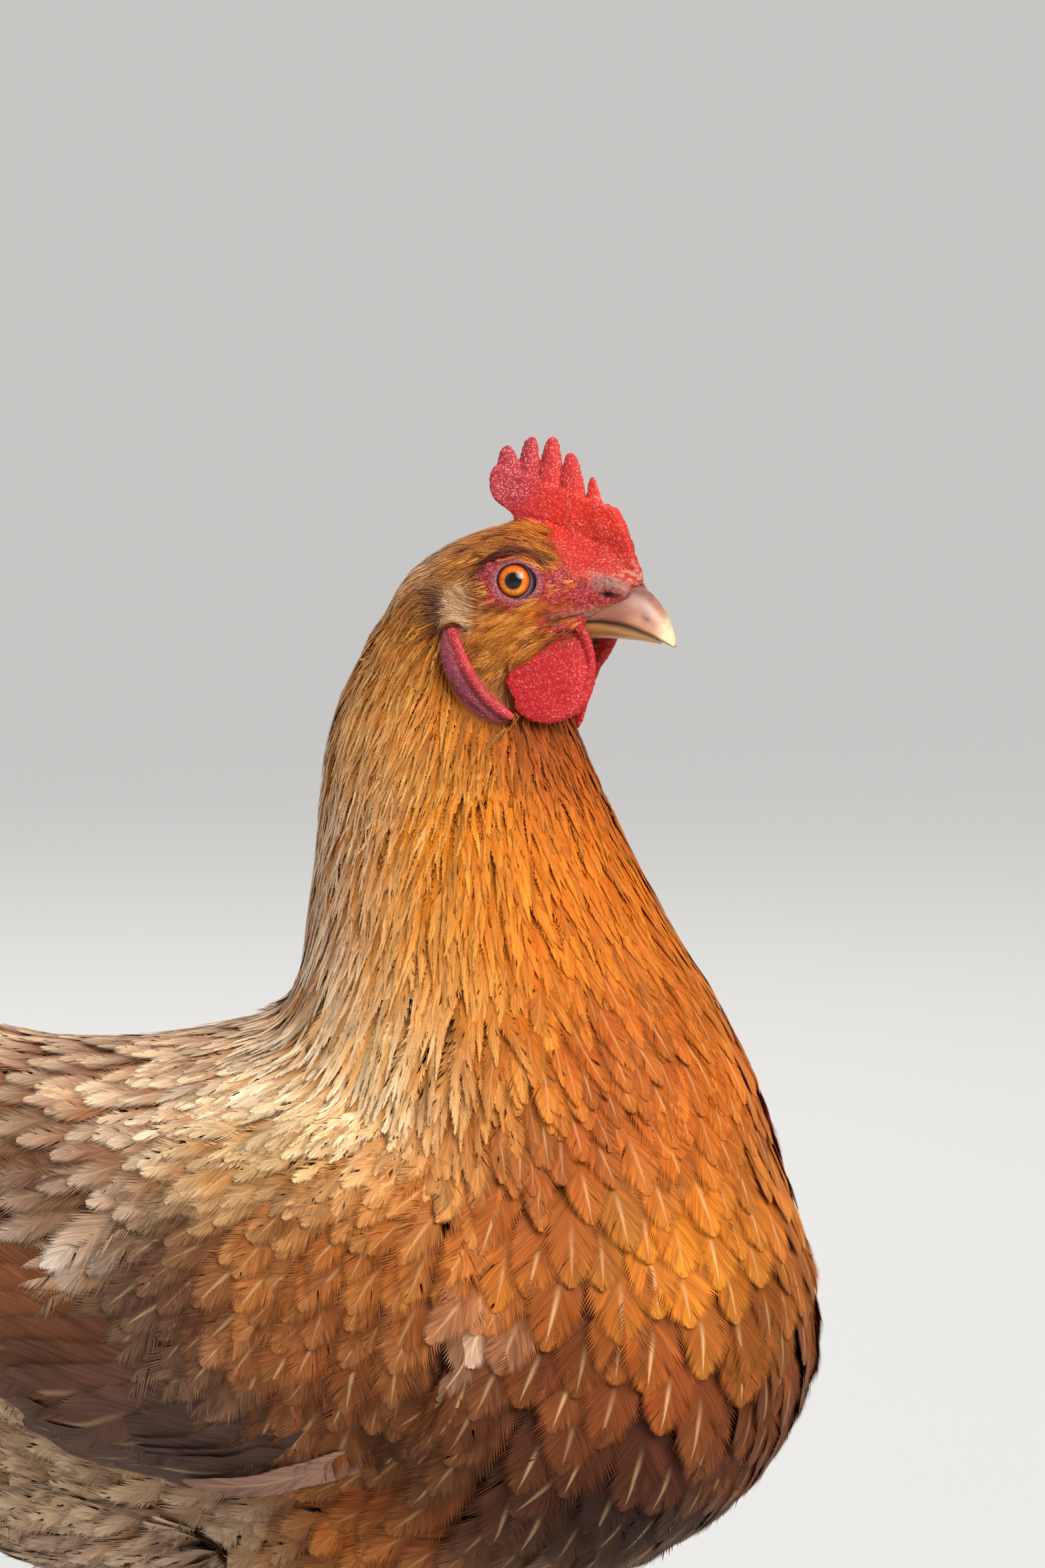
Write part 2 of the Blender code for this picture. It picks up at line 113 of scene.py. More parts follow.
def pointsOf(mesh):
    found = np.empty(len(mesh.vertices) * 3, np.float32)
    mesh.vertices.foreach_get("co", found)
    return found.reshape(-1, 3).astype(float)


def setPoints(mesh, points):
    mesh.vertices.foreach_set("co", np.asarray(points, np.float32).ravel())
    mesh.update()


def normalsOf(mesh):
    found = np.empty(len(mesh.vertices) * 3, np.float32)
    mesh.vertex_normals.foreach_get("vector", found)
    return found.reshape(-1, 3).astype(float)


def trianglesOf(mesh):
    mesh.calc_loop_triangles()
    found = np.empty(len(mesh.loop_triangles) * 3, np.int32)
    mesh.loop_triangles.foreach_get("vertices", found)
    return found.reshape(-1, 3)


def closedRings(points, rows, count, flipped=False):
    # triangles between rows of rings; the last two points close the ends
    i, j = np.meshgrid(np.arange(rows - 1), np.arange(count), indexing="ij")
    a, b = (i * count + j).ravel(), (i * count + (j + 1) % count).ravel()
    ends, last, cap = np.arange(count), (rows - 1) * count, np.full(count, rows * count)
    faces = np.concatenate([
        np.stack([a, b, b + count], 1), np.stack([a, b + count, a + count], 1),
        np.stack([cap, (ends + 1) % count, ends], 1), np.stack([cap + 1, last + ends, last + (ends + 1) % count], 1)])
    return meshFrom("rings", toWorld(points), faces[:, ::-1] if flipped else faces)


def addPiece(name, mesh):
    obj = bpy.data.objects.new(name, mesh)
    bpy.context.scene.collection.objects.link(obj)
    return obj


def addValue(mesh, name, values, kind="FLOAT"):
    layer = mesh.attributes.new(name, kind, "POINT")
    if kind == "FLOAT_COLOR":
        full = np.ones((len(values), 4), np.float32)
        full[:, :3] = values
        layer.data.foreach_set("color", full.ravel())
    else:
        layer.data.foreach_set("value", np.asarray(values, np.float32).ravel())


def dressed(piece, slot, *nodes):
    piece.data.shade_smooth()
    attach(piece, "root")
    if nodes:
        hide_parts(*nodes)


def applied(obj):
    depsgraph = bpy.context.evaluated_depsgraph_get()
    mesh = bpy.data.meshes.new_from_object(obj.evaluated_get(depsgraph))
    old = obj.data
    bpy.data.objects.remove(obj)
    bpy.data.meshes.remove(old)
    return mesh


def treeOf(mesh):
    points = pointsOf(mesh)
    return BVHTree.FromPolygons(points.tolist(), trianglesOf(mesh).tolist())


def smoothed(values, triangles, count, rounds):
    # evens a value out over neighbouring points
    edges = np.concatenate([triangles[:, [0, 1]], triangles[:, [1, 2]], triangles[:, [2, 0]]])
    degree = np.bincount(edges.ravel(), minlength=count).astype(float)
    flat = values.reshape(count, -1).copy()
    for _ in range(rounds):
        near = np.empty_like(flat)
        for k in range(flat.shape[1]):
            near[:, k] = np.bincount(edges[:, 0], flat[edges[:, 1], k], count)
            near[:, k] += np.bincount(edges[:, 1], flat[edges[:, 0], k], count)
        flat = 0.5 * flat + 0.5 * near / np.maximum(degree, 1)[:, None]
    return flat.reshape(values.shape)


# ---- where each kind of plumage grows, how it lies and what colour it has
# x, y, z, reach | flow back and up | length, width, depth of the coat, gap between roots | shaft, fray | main, tip
coatZones = {
    "browFront": (34, 8, 378, 5, -0.9, 0.35, 6, 0.9, 0.7, 0.9, 0, 1, "c0601c", "e8943c"),
    "brow": (18, 9, 384, 6, -1, 0.0, 8, 1.2, 1.2, 1.0, 0, 1, "b8581a", "e08c38"),
    "crown": (4, 5, 383, 7, -0.95, -0.3, 9, 1.6, 1.6, 1.3, 0, 1, "b8601c", "e09840"),
    "crownBack": (-9, 8, 376, 8, -0.8, -0.6, 12, 2.2, 2.0, 1.6, 0, 0.9, "b46820", "e8b06c"),
    "napeTop": (-20, 8, 360, 9, -0.55, -0.84, 15, 2.6, 2.4, 1.9, 0.1, 0.9, "b86c24", "e0a45c"),
    "behindEye": (2, 15, 373, 5, -0.9, -0.45, 8, 1.3, 1.2, 1.0, 0, 1, "8c441c", "c47c34"),
    "ear": (2.5, 17, 364, 4.6, -0.9, 0.3, 8.5, 1.2, 2.6, 0.7, 0, 1, "b87c44", "f0dcc0"),
    # earBehind is dark partly as painted shade: the recess behind the ear fan, over the neck's own brown
    "earBehind": (-6.5, 16, 362.5, 4.4, -0.5, -0.85, 12, 2.0, 1.0, 1.5, 0, 1, "6a3818", "a8682c"),
    "cheek": (14, 16, 358, 6, -0.9, -0.4, 6, 0.8, 0.9, 0.8, 0, 1, "b8641c", "e09440"),
    "cheekLow": (15, 17, 349, 6, -0.75, -0.66, 7, 0.9, 1.0, 0.8, 0, 1, "ac5c1c", "d88c3c"),
    "cheekFront": (28, 14, 362, 5, -0.95, -0.25, 4.5, 0.6, 0.5, 0.9, 0, 1, "c0581c", "e48c3c"),
    "lores": (35, 12, 368, 4, -0.9, -0.3, 3.5, 0.5, 0.3, 1.4, 0, 1, "c4541c", "d4702c"),
    "chin": (30, 5, 352, 7, -0.6, -0.75, 6, 0.9, 0.9, 1.1, 0, 1, "7c3c18", "a45c28"),
    "behindLobe": (-6, 18, 352, 8, -0.35, -0.93, 14, 2.0, 1.8, 1.7, 0.1, 0.9, "8c4a18", "b8742c"),
    "neckTop": (-8, 22, 332, 14, -0.22, -0.97, 19, 2.8, 2.6, 2.3, 0.15, 0.9, "b8661c", "d89440"),
    "napeUp": (-29, 16, 328, 15, -0.2, -0.98, 21, 3.2, 3.0, 2.4, 0.15, 0.9, "b46c28", "e4b87c"),
    "napeMid": (-37, 18, 292, 20, -0.06, -1, 27, 4.0, 3.8, 3.0, 0.2, 0.9, "b07030", "f0dcc0"),
    "napeLow": (-38, 32, 262, 18, -0.12, -0.99, 33, 4.8, 4.2, 3.6, 0.2, 1, "ac7238", "f4e4cc"),
    "sideMid": (-3, 33, 296, 20, -0.05, -1, 27, 4.4, 3.8, 3.1, 0.25, 0.85, "bc6a0a", "d69644"),
    "sideLow": (-4, 46, 264, 18, -0.1, -0.99, 34, 5.2, 4.4, 3.8, 0.25, 1, "c07018", "dea04c"),
    "throatTop": (28, 12, 328, 12, 0.1, -0.99, 15, 3.0, 2.0, 2.4, 0.1, 0.7, "743008", "9c4810"),
    "throat": (38, 6, 314, 14, 0.3, -0.95, 19, 4.2, 2.6, 3.0, 0.2, 0.6, "84380c", "ac5414"),
    "frontMid": (46, 10, 292, 16, 0.42, -0.91, 25, 6.4, 3.4, 4.0, 0.35, 0.5, "b85608", "c8761c"),
    "midFront": (28, 30, 290, 18, 0.2, -0.98, 25, 5.6, 3.6, 3.5, 0.35, 0.6, "c46408", "d87c1c"),
    "lowFront": (42, 38, 262, 18, 0.22, -0.97, 30, 8.5, 4.6, 5.0, 0.5, 0.6, "ac540a", "bc6c16"),
    "lowFrontEdge": (70, 12, 252, 18, 0.35, -0.94, 30, 10, 4.6, 6.0, 0.6, 0.35, "a85010", "bc6c20"),
    "hem": (18, 52, 252, 15, 0.08, -0.99, 34, 6.2, 5.0, 4.2, 0.4, 0.9, "bc6818", "de9c4c"),
    "cape": (-30, 50, 240, 20, -0.8, -0.6, 27, 8.0, 5.0, 4.4, 0.2, 0.95, "dca05c", "fae8c8"),
    "capeFront": (0, 58, 239, 14, -0.5, -0.87, 26, 7.5, 5.0, 4.4, 0.2, 1, "d8a05c", "f8e0b4"),
    "breastTop": (60, 38, 236, 18, 0.15, -0.98, 28, 13, 5.0, 7.4, 0.5, 0.55, "943f0e", "ac5c1c"),
    "breastUpper": (72, 38, 218, 18, 0.12, -0.99, 28, 15, 5.5, 8.2, 0.6, 0.5, "a04c10", "b86420"),
    # the zone below is dark as painted shade: the shadow line along the front edge of the folded wing
    "breastShadeByWing": (44, 62, 214, 12, -0.18, -0.98, 28, 14, 5.5, 8.0, 0.8, 0.55, "7c3810", "945020"),
    "breastMid": (78, 46, 192, 18, -0.1, -0.99, 29, 16, 6.0, 8.6, 0.8, 0.5, "c06c14", "d48c2c"),
    "breastSide": (44, 70, 190, 15, -0.42, -0.9, 29, 15, 6.0, 8.4, 0.8, 0.5, "984c14", "ac6420"),
    "breastFront": (92, 0, 200, 22, 0.02, -1, 28, 15, 5.5, 8.4, 0.6, 0.5, "a4581c", "b87028"),
    # the low breast zones below, down to breastBottom, are darkened as painted shade under the body, over their own
    # browner colour
    "breastLow": (74, 56, 158, 18, -0.22, -0.97, 30, 16, 6.5, 9.0, 0.6, 0.55, "843c14", "985424"),
    "breastLowSide": (40, 74, 154, 16, -0.45, -0.88, 30, 15, 6.5, 8.8, 0.5, 0.6, "562812", "6c3c1e"),
    "breastLowFront": (88, 12, 156, 20, -0.1, -0.99, 29, 15, 6.0, 8.8, 0.5, 0.6, "5c2c0e", "74401a"),
    "breastBottom": (58, 50, 126, 20, -0.55, -0.82, 30, 15, 6.5, 9.0, 0.35, 0.7, "20100c", "301c18"),
    "belly": (10, 20, 94, 32, -1, -0.2, 32, 15, 7, 9.5, 0.1, 0.8, "4a2c1a", "7a5a3c"),
    "flank": (10, 70, 134, 18, -0.8, -0.55, 32, 14, 6.5, 8.5, 0.3, 0.7, "3c200e", "603c24"),
    "shoulder": (14, 70, 219, 13, -0.62, -0.78, 24, 12, 5.0, 5.6, 0.4, 0.75, "a05c24", "c88a4c"),
    "covertFront": (10, 83, 201, 13, -0.45, -0.89, 24, 13, 4.5, 6.2, 0.5, 0.65, "984f1c", "b87636"),
    "covertTop": (-30, 70, 226, 18, -0.8, -0.6, 28, 12, 5.0, 5.6, 0.4, 0.8, "b07c44", "dcb880"),
    "covertMid": (-22, 85, 192, 16, -0.68, -0.73, 29, 14, 5.0, 6.2, 0.6, 0.6, "925020", "a86c38"),
    "covertLow": (-11, 88, 166, 15, -0.5, -0.87, 34, 15, 5.0, 6.2, 0.45, 0.65, "703818", "885430"),
    "covertLowFront": (19, 84, 162, 11, -0.4, -0.9, 28, 14, 4.5, 6.2, 0.5, 0.65, "74401c", "8c5830"),
    "covertRear": (-58, 86, 183, 17, -0.8, -0.6, 38, 15, 5.0, 8.0, 0.3, 0.75, "44241a", "5e3e2a"),
    "wingEdge": (-42, 82, 140, 13, -0.85, -0.5, 36, 15, 4.0, 8.0, 0.2, 0.6, "30180f", "46281e"),
    "wingRear": (-120, 72, 200, 24, -0.95, -0.3, 44, 17, 4.0, 10, 0.2, 0.5, "4a2e20", "7c5e4a"),
    "scapular": (-79, 48, 233, 22, -0.96, -0.2, 36, 13, 6.0, 7.6, 0.2, 0.8, "a06840", "ecd0ac"),
    "back": (-60, 12, 246, 26, -1, 0.0, 30, 12, 6.0, 7.0, 0.1, 0.8, "884a22", "dcb888"),
    "saddle": (-120, 18, 240, 26, -1, 0.05, 34, 10, 6.0, 6.4, 0.1, 0.9, "7c4222", "dcb890"),
    "tailBase": (-178, 14, 258, 20, -0.85, 0.5, 34, 12, 5.0, 6.6, 0.1, 0.9, "84481e", "c49870"),
    "rumpSide": (-150, 50, 205, 28, -0.95, -0.3, 34, 12, 7.0, 7.4, 0, 1, "845028", "c8a478"),
    "vent": (-165, 15, 175, 28, -0.7, -0.7, 36, 12, 9.5, 5.4, 0, 1, "a07e5c", "d4bc9c"),
    # fluff is darkened in part as painted shade under the body
    "fluff": (-90, 55, 135, 32, -0.8, -0.6, 36, 12, 9.0, 5.4, 0, 1, "947050", "ccac88"),
    "fluffUnder": (-74, 15, 106, 30, -1, -0.3, 36, 12, 13, 5.4, 0, 1, "7c5c48", "b49c88"),
    "sideTuft": (32, 80, 172, 5.5, -0.55, -0.83, 27, 2.4, 9.0, 3.0, 0, 1, "e4c8a4", "fcf0e0"),
    "saddleTuft": (-104, 4, 254, 9, -0.9, 0.25, 26, 8, 8.5, 6.2, 0, 1, "dcc09c", "faf0e0"),
    "covertPale": (-88, 84, 198, 12, -0.9, -0.4, 38, 10, 6.5, 5.2, 0.1, 1, "b08864", "f2e4d4"),
    "browLow": (15, 11, 379, 3.0, -0.95, -0.2, 7, 1.0, 1.0, 0.9, 0, 1, "6c3c34", "a4704a"),
    "thigh": (-8, 62, 118, 16, -0.5, -0.86, 26, 10, 6.0, 5.6, 0.1, 0.9, "8c4414", "b06c28"),
    "thighFront": (16, 58, 112, 12, -0.5, -0.86, 24, 10, 6.0, 5.6, 0.1, 1, "543020", "78503a"),
    "thighLow": (-42, 40, 98, 12, -0.35, -0.93, 12, 6, 4.0, 3.0, 0, 1, "9c6c3c", "c8a880"),
    "chestSide": (34, 58, 234, 10, -0.1, -0.99, 28, 9, 5.0, 5.6, 0.4, 0.7, "a05212", "c07a30"),
    "wingLow": (-84, 84, 146, 13, -0.95, -0.3, 40, 15, 4.0, 7.8, 0.2, 0.6, "38262a", "54403c"),
    "underLobe": (11, 17.5, 330.5, 4.2, -0.25, -0.97, 9.5, 1.6, 1.6, 0.9, 0, 1, "a86020", "cc8c40"),
    "strap": (17.5, 16.5, 341, 3.6, -0.45, -0.89, 7, 0.9, 1.0, 0.8, 0, 1, "a4602c", "dcac70"),
    "napePale": (-15, 4, 371, 6.5, -0.7, -0.7, 13, 2.2, 2.2, 1.7, 0, 1, "dcb080", "fcf0e0"),
    "wingTop": (-95, 72, 218, 12, -0.95, -0.3, 36, 12, 5.0, 7.0, 0.2, 0.8, "5c3020", "94644c"),
    "hock": (-56, 37, 88, 7, -0.2, -0.97, 7, 3.4, 1.4, 2.2, 0, 1, "98683a", "c0986c"),
}
zoneValues = ("long", "wide", "deep", "gap", "shaft", "fray")
zoneNumbers = np.array([row[:12] for row in coatZones.values()], float)
zoneMain = np.array([linear(row[12]) for row in coatZones.values()])
zoneTip = np.array([linear(row[13]) for row in coatZones.values()])


def coatAt(points):
    # blends the zones round each point; the two sides of the hen are alike
    found = {key: [] for key in ("flow", *zoneValues, "main", "tip")}
    for part in np.array_split(folded(toHen(points)), max(1, len(points) // 20000)):
        apart = ((part[:, None] - zoneNumbers[None, :, :3]) ** 2).sum(2) / zoneNumbers[:, 3] ** 2
        weight = np.exp(-0.7 * apart) + 1e-4 / (1 + apart * apart)
        weight /= weight.sum(1, keepdims=True)
        blend = weight @ zoneNumbers[:, 4:]
        found["flow"].append(np.stack([blend[:, 0], np.zeros(len(part)), blend[:, 1]], 1))
        for k, key in enumerate(zoneValues):
            found[key].append(blend[:, 2 + k])
        found["main"].append(weight @ zoneMain)
        found["tip"].append(weight @ zoneTip)
    return {key: np.concatenate(value) for key, value in found.items()}


# ---- the skin: one closed mesh in place of all the nodes of flesh
skinSettings = {
    "headVoxel": 0.38, "bodyVoxel": 2.3, "legVoxel": 0.75, "swell": 0.4,
    "neckJoin": 314, "dive": 5.0, "fluff": ((-97, 0, 131), (65, 52, 46)), "papillaSize": 1.25, "papillaHeight": 0.2,
}
toeNames = ("inner", "middle", "outer", "hind")
legNodes = [f"{part}_{side}" for side in sides for part in ("shank", "foot")]
legNodes += [f"toe_{side}_{toe}" for side in sides for toe in toeNames]
bareNodes = ["comb", "wattle_left", "wattle_right"]
lobeNodes = ["earlobe_left", "earlobe_right"]
bodyNodes = ["neck", "trunk"] + [f"{part}_{side}" for side in sides for part in ("wing", "thigh")]


def gathered(nodes, swell, extras=()):
    # copies of the solids, swollen a little so that the cuts between them close
    whole = bmesh.new()
    for node in nodes:
        part = bmesh.new()
        part.from_mesh(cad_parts[node].data)
        bmesh.ops.remove_doubles(part, verts=part.verts, dist=1e-5)
        part.normal_update()
        offsets = [vert.normal * swell * mm * min(max(vert.calc_shell_factor(), 1), 2) for vert in part.verts]
        for vert, offset in zip(part.verts, offsets):
            vert.co += offset
        mesh = bpy.data.meshes.new(node)
        part.to_mesh(mesh)
        whole.from_mesh(mesh)
        bpy.data.meshes.remove(mesh)
    for extra in extras:
        whole.from_mesh(extra)
    mesh = bpy.data.meshes.new("gathered")
    whole.to_mesh(mesh)
    return mesh


def remeshed(mesh, voxel, rounds):
    obj = addPiece("shape", mesh)
    grid = obj.modifiers.new("voxels", "REMESH")
    grid.mode = "VOXEL"
    grid.voxel_size = voxel * mm
    even = obj.modifiers.new("even", "SMOOTH")
    even.factor = 0.5
    even.iterations = rounds
    return applied(obj)


def lump(centre, radii, turn=(0, 0, 0)):
    # an ellipsoid in hen millimetres, turned by degrees about x, y and z
    shape = bmesh.new()
    bmesh.ops.create_uvsphere(shape, u_segments=32, v_segments=20, radius=1)
    rotation = Matrix.Identity(4)
    for axis, angle in zip("ZYX", reversed(turn)):
        rotation = rotation @ Matrix.Rotation(math.radians(angle), 4, axis)
    spot = Matrix.Translation(Vector(toWorld(centre)))
    grown = Matrix.Diagonal((*(np.array(radii) * mm), 1))
    bmesh.ops.transform(shape, matrix=spot @ rotation @ grown, verts=shape.verts)
    mesh = bpy.data.meshes.new("lump")
    shape.to_mesh(mesh)
    return mesh


def eased(rows, steps):
    # a smooth curve through rows of numbers
    rows = np.asarray(rows, float)
    last = len(rows) - 1
    place = np.linspace(0, last, last * steps + 1)
    i = np.minimum(place.astype(int), last - 1)
    return curved(*(rows[np.clip(i + k, 0, last)] for k in (-1, 0, 1, 2)), (place - i)[:, None])


def hose(spots, radii, count=14, flat=1.0):
    # a limb through places in hen millimetres, closed at both ends, and flatter from side to side where asked
    curve = eased(np.concatenate([np.asarray(spots, float), np.asarray(radii, float)[:, None]], 1), 4)
    spots, radii = curve[:, :3], np.maximum(curve[:, 3], 0.2)
    run = unit(np.gradient(spots, axis=0))
    side = unit(np.cross(run, [0.13, 0.21, 0.97]))
    over = np.cross(side, run)
    turn = np.linspace(0, 2 * math.pi, count, endpoint=False)
    ring = side[:, None] * np.cos(turn)[None, :, None] + over[:, None] * np.sin(turn)[None, :, None]
    ring = ring * [1, flat, 1]
    points = (spots[:, None] + ring * radii[:, None, None]).reshape(-1, 3)
    return closedRings(np.concatenate([points, spots[:1], spots[-1:]]), len(spots), count)


# the way each eye looks, and the opening between its lids
eyeSettings = {
    "ball": 6.1, "forward": 13, "up": 2, "openWide": 5.5, "openTall": 4.75, "lidThick": 0.85, "shift": 0.7,
    "bulge": 0.55,
    "rings": 72, "around": 128,
}


def eyeAxes(side):
    turn, rise = math.radians(eyeSettings["forward"]), math.radians(eyeSettings["up"])
    out = np.array([math.sin(turn) * math.cos(rise), sides[side] * math.cos(turn) * math.cos(rise), math.sin(rise)])
    ahead = unit(np.array([1, 0, -0.16]) - out * out[0])
    ahead = unit(ahead - out * (ahead @ out))
    return out, ahead, np.cross(ahead, out) * sides[side]


def eyeView(side, hen):
    # places as seen from the eye: ahead, up and out of the head
    return [(hen - np.array(eyeSpot[side])) @ axis for axis in np.array(eyeAxes(side))[[1, 2, 0]]]


def lidShare(side, hen, wider, taller, shift=eyeSettings["shift"]):
    # 1 on the rim of the lids, less inside it, and how far out of the head
    a, b, c = eyeView(side, hen)
    return np.hypot((a - shift) / (eyeSettings["openWide"] + wider), b / (eyeSettings["openTall"] + taller)), c


def lidRing(side, grow=0.0):
    # the rim of the lids, an almond drawn to a point at the front
    out, ahead, up = eyeAxes(side)
    spots = []
    for angle in np.linspace(0, 2 * math.pi, 57):
        c, s = math.cos(angle), math.sin(angle)
        wide = (eyeSettings["openWide"] + grow) * (c + 0.07 * max(c, 0) ** 6) + eyeSettings["shift"]
        tall = (eyeSettings["openTall"] + grow) * s
        flat = ahead * wide + up * tall
        reach = eyeSettings["ball"] + 0.15
        depth = math.sqrt(max(reach ** 2 - flat @ flat, 1))
        spots.append(np.array(eyeSpot[side]) + flat + out * depth)
    return hose(spots, [eyeSettings["lidThick"] + grow * 0.2] * len(spots))


headLines = {
    "brow": ([(5, 13.6, 373.5), (10, 13.0, 379.5), (18, 10.6, 382.6), (27, 8.6, 381), (33, 7.6, 376)],
             [1.2, 2.2, 2.5, 2.2, 1.2]),
    "gape": ([(27, 13.9, 356.8), (31, 13.4, 358.2), (35, 12.4, 359.4), (38.5, 10.8, 360)], [0.8, 1.3, 1.2, 0.6]),
    "cheekFold": ([(23, 14.4, 361.6), (30, 13.9, 362.2), (37, 12.0, 362.8)], [0.6, 1.0, 0.6]),
    "wattleRim": ([(36, 11.8, 360), (38.8, 11.2, 355), (40.2, 11.2, 349), (39.4, 12.0, 342.5), (36, 13.2, 337),
                   (31, 14.3, 334.3)], [1.5, 1.35, 1.25, 1.2, 1.1, 0.8]),
    "lobeRear": ([(2.0, 18.2, 358.6), (2.2, 19.3, 355.5), (3.2, 19.9, 350.5), (5.6, 19.9, 345.5), (9.2, 19.3, 340.8),
                  (13.4, 18.4, 336.8), (16.5, 17.4, 334.8)], [1.4, 2.6, 3.3, 3.3, 3.0, 2.3, 1.2]),
    "lobeFront": ([(3.4, 19.4, 357.6), (5.2, 20.3, 353.6), (7.3, 20.8, 349), (9.8, 20.7, 344.4), (13, 19.8, 340),
                   (16.8, 18.6, 336.4), (19.8, 17.4, 334.4)], [0.9, 1.35, 1.5, 1.65, 1.75, 1.6, 1.0]),
}


def headLine(name, sign, flat=1.0):
    spots, radii = headLines[name]
    return hose([(x, sign * y, z) for x, y, z in spots], radii, flat=flat)


headExtras, lobeShapes, rimShapes = [], {}, {}
for side, sign in sides.items():
    headExtras += [lidRing(side), lidRing(side, 1.3)]
    headExtras.append(lump((44.6, sign * 8.7, 369.4), (5.2, 1.5, 2.3), (0, 14, 0)))  # lid over the nostril
    headExtras += [headLine(name, sign) for name in ("brow", "gape", "cheekFold")]
    rimShapes[side] = headLine("wattleRim", sign)
    lobeShapes[side] = [headLine("lobeRear", sign, 0.55), headLine("lobeFront", sign, 0.9)]
    headExtras += [rimShapes[side], *lobeShapes[side]]


def cutOff(mesh, place, way):
    # takes off what lies beyond a plane on the side it looks to, and closes the cut
    part = bmesh.new()
    part.from_mesh(mesh)
    everything = part.verts[:] + part.edges[:] + part.faces[:]
    cut = bmesh.ops.bisect_plane(
        part, geom=everything, plane_co=Vector(toWorld(place)), plane_no=way, clear_outer=True)
    rim = [item for item in cut["geom_cut"] if isinstance(item, bmesh.types.BMEdge)]
    bmesh.ops.holes_fill(part, edges=rim, sides=0)
    part.to_mesh(mesh)
    return mesh


def sunk(mesh, extraDive, level=-1000):
    # draws a shape in from the tips of the plumage to the skin, and only sideways under a level
    points, normals = pointsOf(mesh), normalsOf(mesh)
    triangles = trianglesOf(mesh)
    normals = unit(smoothed(normals, triangles, len(points), 6))
    sideways = normals * [1, 1, 0]
    sideways /= np.maximum(np.linalg.norm(sideways, axis=1, keepdims=True), 0.4)
    normals = mixed(sideways, normals, smoothStep(level, level + 3, toHen(points)[:, 2]))
    depth = coatAt(points)["deep"] * (1 - bareShare(points)) + extraDive(toHen(points))
    setPoints(mesh, points - normals * smoothed(depth, triangles, len(points), 4)[:, None] * mm)
    return mesh


def ellipseShare(x, z, centre, radii, turn, soft):
    # 1 inside an ellipse seen from the side, 0 outside
    c, s = math.cos(math.radians(turn)), math.sin(math.radians(turn))
    across = (x - centre[0]) * c + (z - centre[1]) * s
    along = (z - centre[1]) * c - (x - centre[0]) * s
    return 1 - smoothStep(1 - soft, 1 + soft, np.sqrt((across / radii[0]) ** 2 + (along / radii[1]) ** 2))


combSettings = {
    "cut": (8, 0, 402), "cutWay": (0.313, 0, 0.95), "flat": 0.5, "wave": 0.8,
    "fingers": [
        ([(14.0, 393), (12.9, 399), (11.9, 403), (11.9, 405.8), (12.1, 407.2)], [4.8, 3.9, 2.9, 2.0, 0.7]),
        ([(18.4, 395), (18.2, 401), (18.2, 405), (18.6, 408.2), (18.6, 409.6)], [4.2, 3.3, 2.6, 1.9, 0.7]),
        ([(24.3, 393), (24.3, 400), (24.5, 404.6), (24.7, 408.2), (24.7, 409.6)], [4.2, 3.5, 2.8, 1.9, 0.7]),
        ([(30.6, 388), (30.7, 395), (30.5, 400.4), (30.1, 404), (29.9, 405.4)], [4.6, 3.7, 2.7, 1.8, 0.7]),
        ([(37, 387), (37, 392.5), (36.8, 395.6), (36.7, 397.8), (36.6, 399)], [3.4, 2.3, 1.7, 1.2, 0.6]),
        ([(42.5, 384), (41, 388), (39.6, 391)], [4.2, 3.2, 1.8]),
    ],
}


def combShapes():
    # the blade of the comb up to its valleys, and a finger for each point
    c = combSettings
    shapes = [cutOff(gathered(["comb"], skinSettings["swell"]), c["cut"], c["cutWay"])]
    for line, radii in c["fingers"]:
        spots = [(x, c["wave"] * math.sin((x - 8) / 7), z) for x, z in line]
        shapes.append(hose(spots, radii, flat=c["flat"]))
    return shapes


def wattleDrawn(points, share):
    # the left wattle hangs edge on, drawn to a point low down in front
    x, y, z = toHen(points).T
    front = np.interp(z, (334.8, 340.3, 346.3, 350.6, 358.8), (33.8, 39, 41.6, 41.3, 40.5))
    wanted = np.minimum(front, 27.4 + (z - 334.8) * 0.66)
    ratio = np.clip((wanted - 22) / (front - 22), 0.3, 1)
    share = share * (y > 4) * smoothStep(22, 24, x)
    moved = points.copy()
    moved[:, 0] -= share * np.maximum(x - 22, 0) * (1 - ratio) * mm
    moved[:, 2] -= share * np.maximum(341 - z, 0) * 0.8 * mm
    return moved


def drawnMesh(mesh):
    setPoints(mesh, wattleDrawn(pointsOf(mesh), np.ones(len(mesh.vertices))))
    return mesh


bareTrees = {node: treeOf(gathered([node], 0)) for node in bareNodes + legNodes}
bareTrees["comb"] = treeOf(gathered([], 0, combShapes()))
bareTrees["wattleTip"] = treeOf(drawnMesh(gathered(["wattle_left"], 0, [rimShapes["left"]])))
for side in sides:
    bareTrees[f"earlobe_{side}"] = treeOf(gathered([], 0, lobeShapes[side]))
    bareTrees[f"rim_{side}"] = treeOf(rimShapes[side])
wattleNodes = ["wattle_left", "wattle_right", "wattleTip", "rim_left", "rim_right"]


def nearness(trees, points, reach):
    # 1 on the given solids, falling to 0 at the reach in millimetres
    share = np.zeros(len(points))
    for tree in trees:
        for i, point in enumerate(points):
            hit = tree.find_nearest(point, reach * mm)
            if hit[3] is not None:
                share[i] = max(share[i], 1 - hit[3] / mm / reach)
    return share


# bare patches of the face: centre, radii, turn, softness
facePatches = [
    ((17.5, 370.5), (10.5, 7.8), 4, 0.12), ((36, 369.5), (13, 6.2), -6, 0.3), ((35, 360.5), (9, 3.6), 12, 0.3),
]


def faceBare(hen):
    # bare red skin round the eye, in front of it and at the corner of the bill
    x, z = hen[:, 0], hen[:, 2]
    share = np.maximum.reduce([ellipseShare(x, z, *place) for place in facePatches])
    share *= smoothStep(3, 6, np.abs(hen[:, 1])) * smoothStep(345, 350, z)
    return np.maximum(share, combFoot(hen))


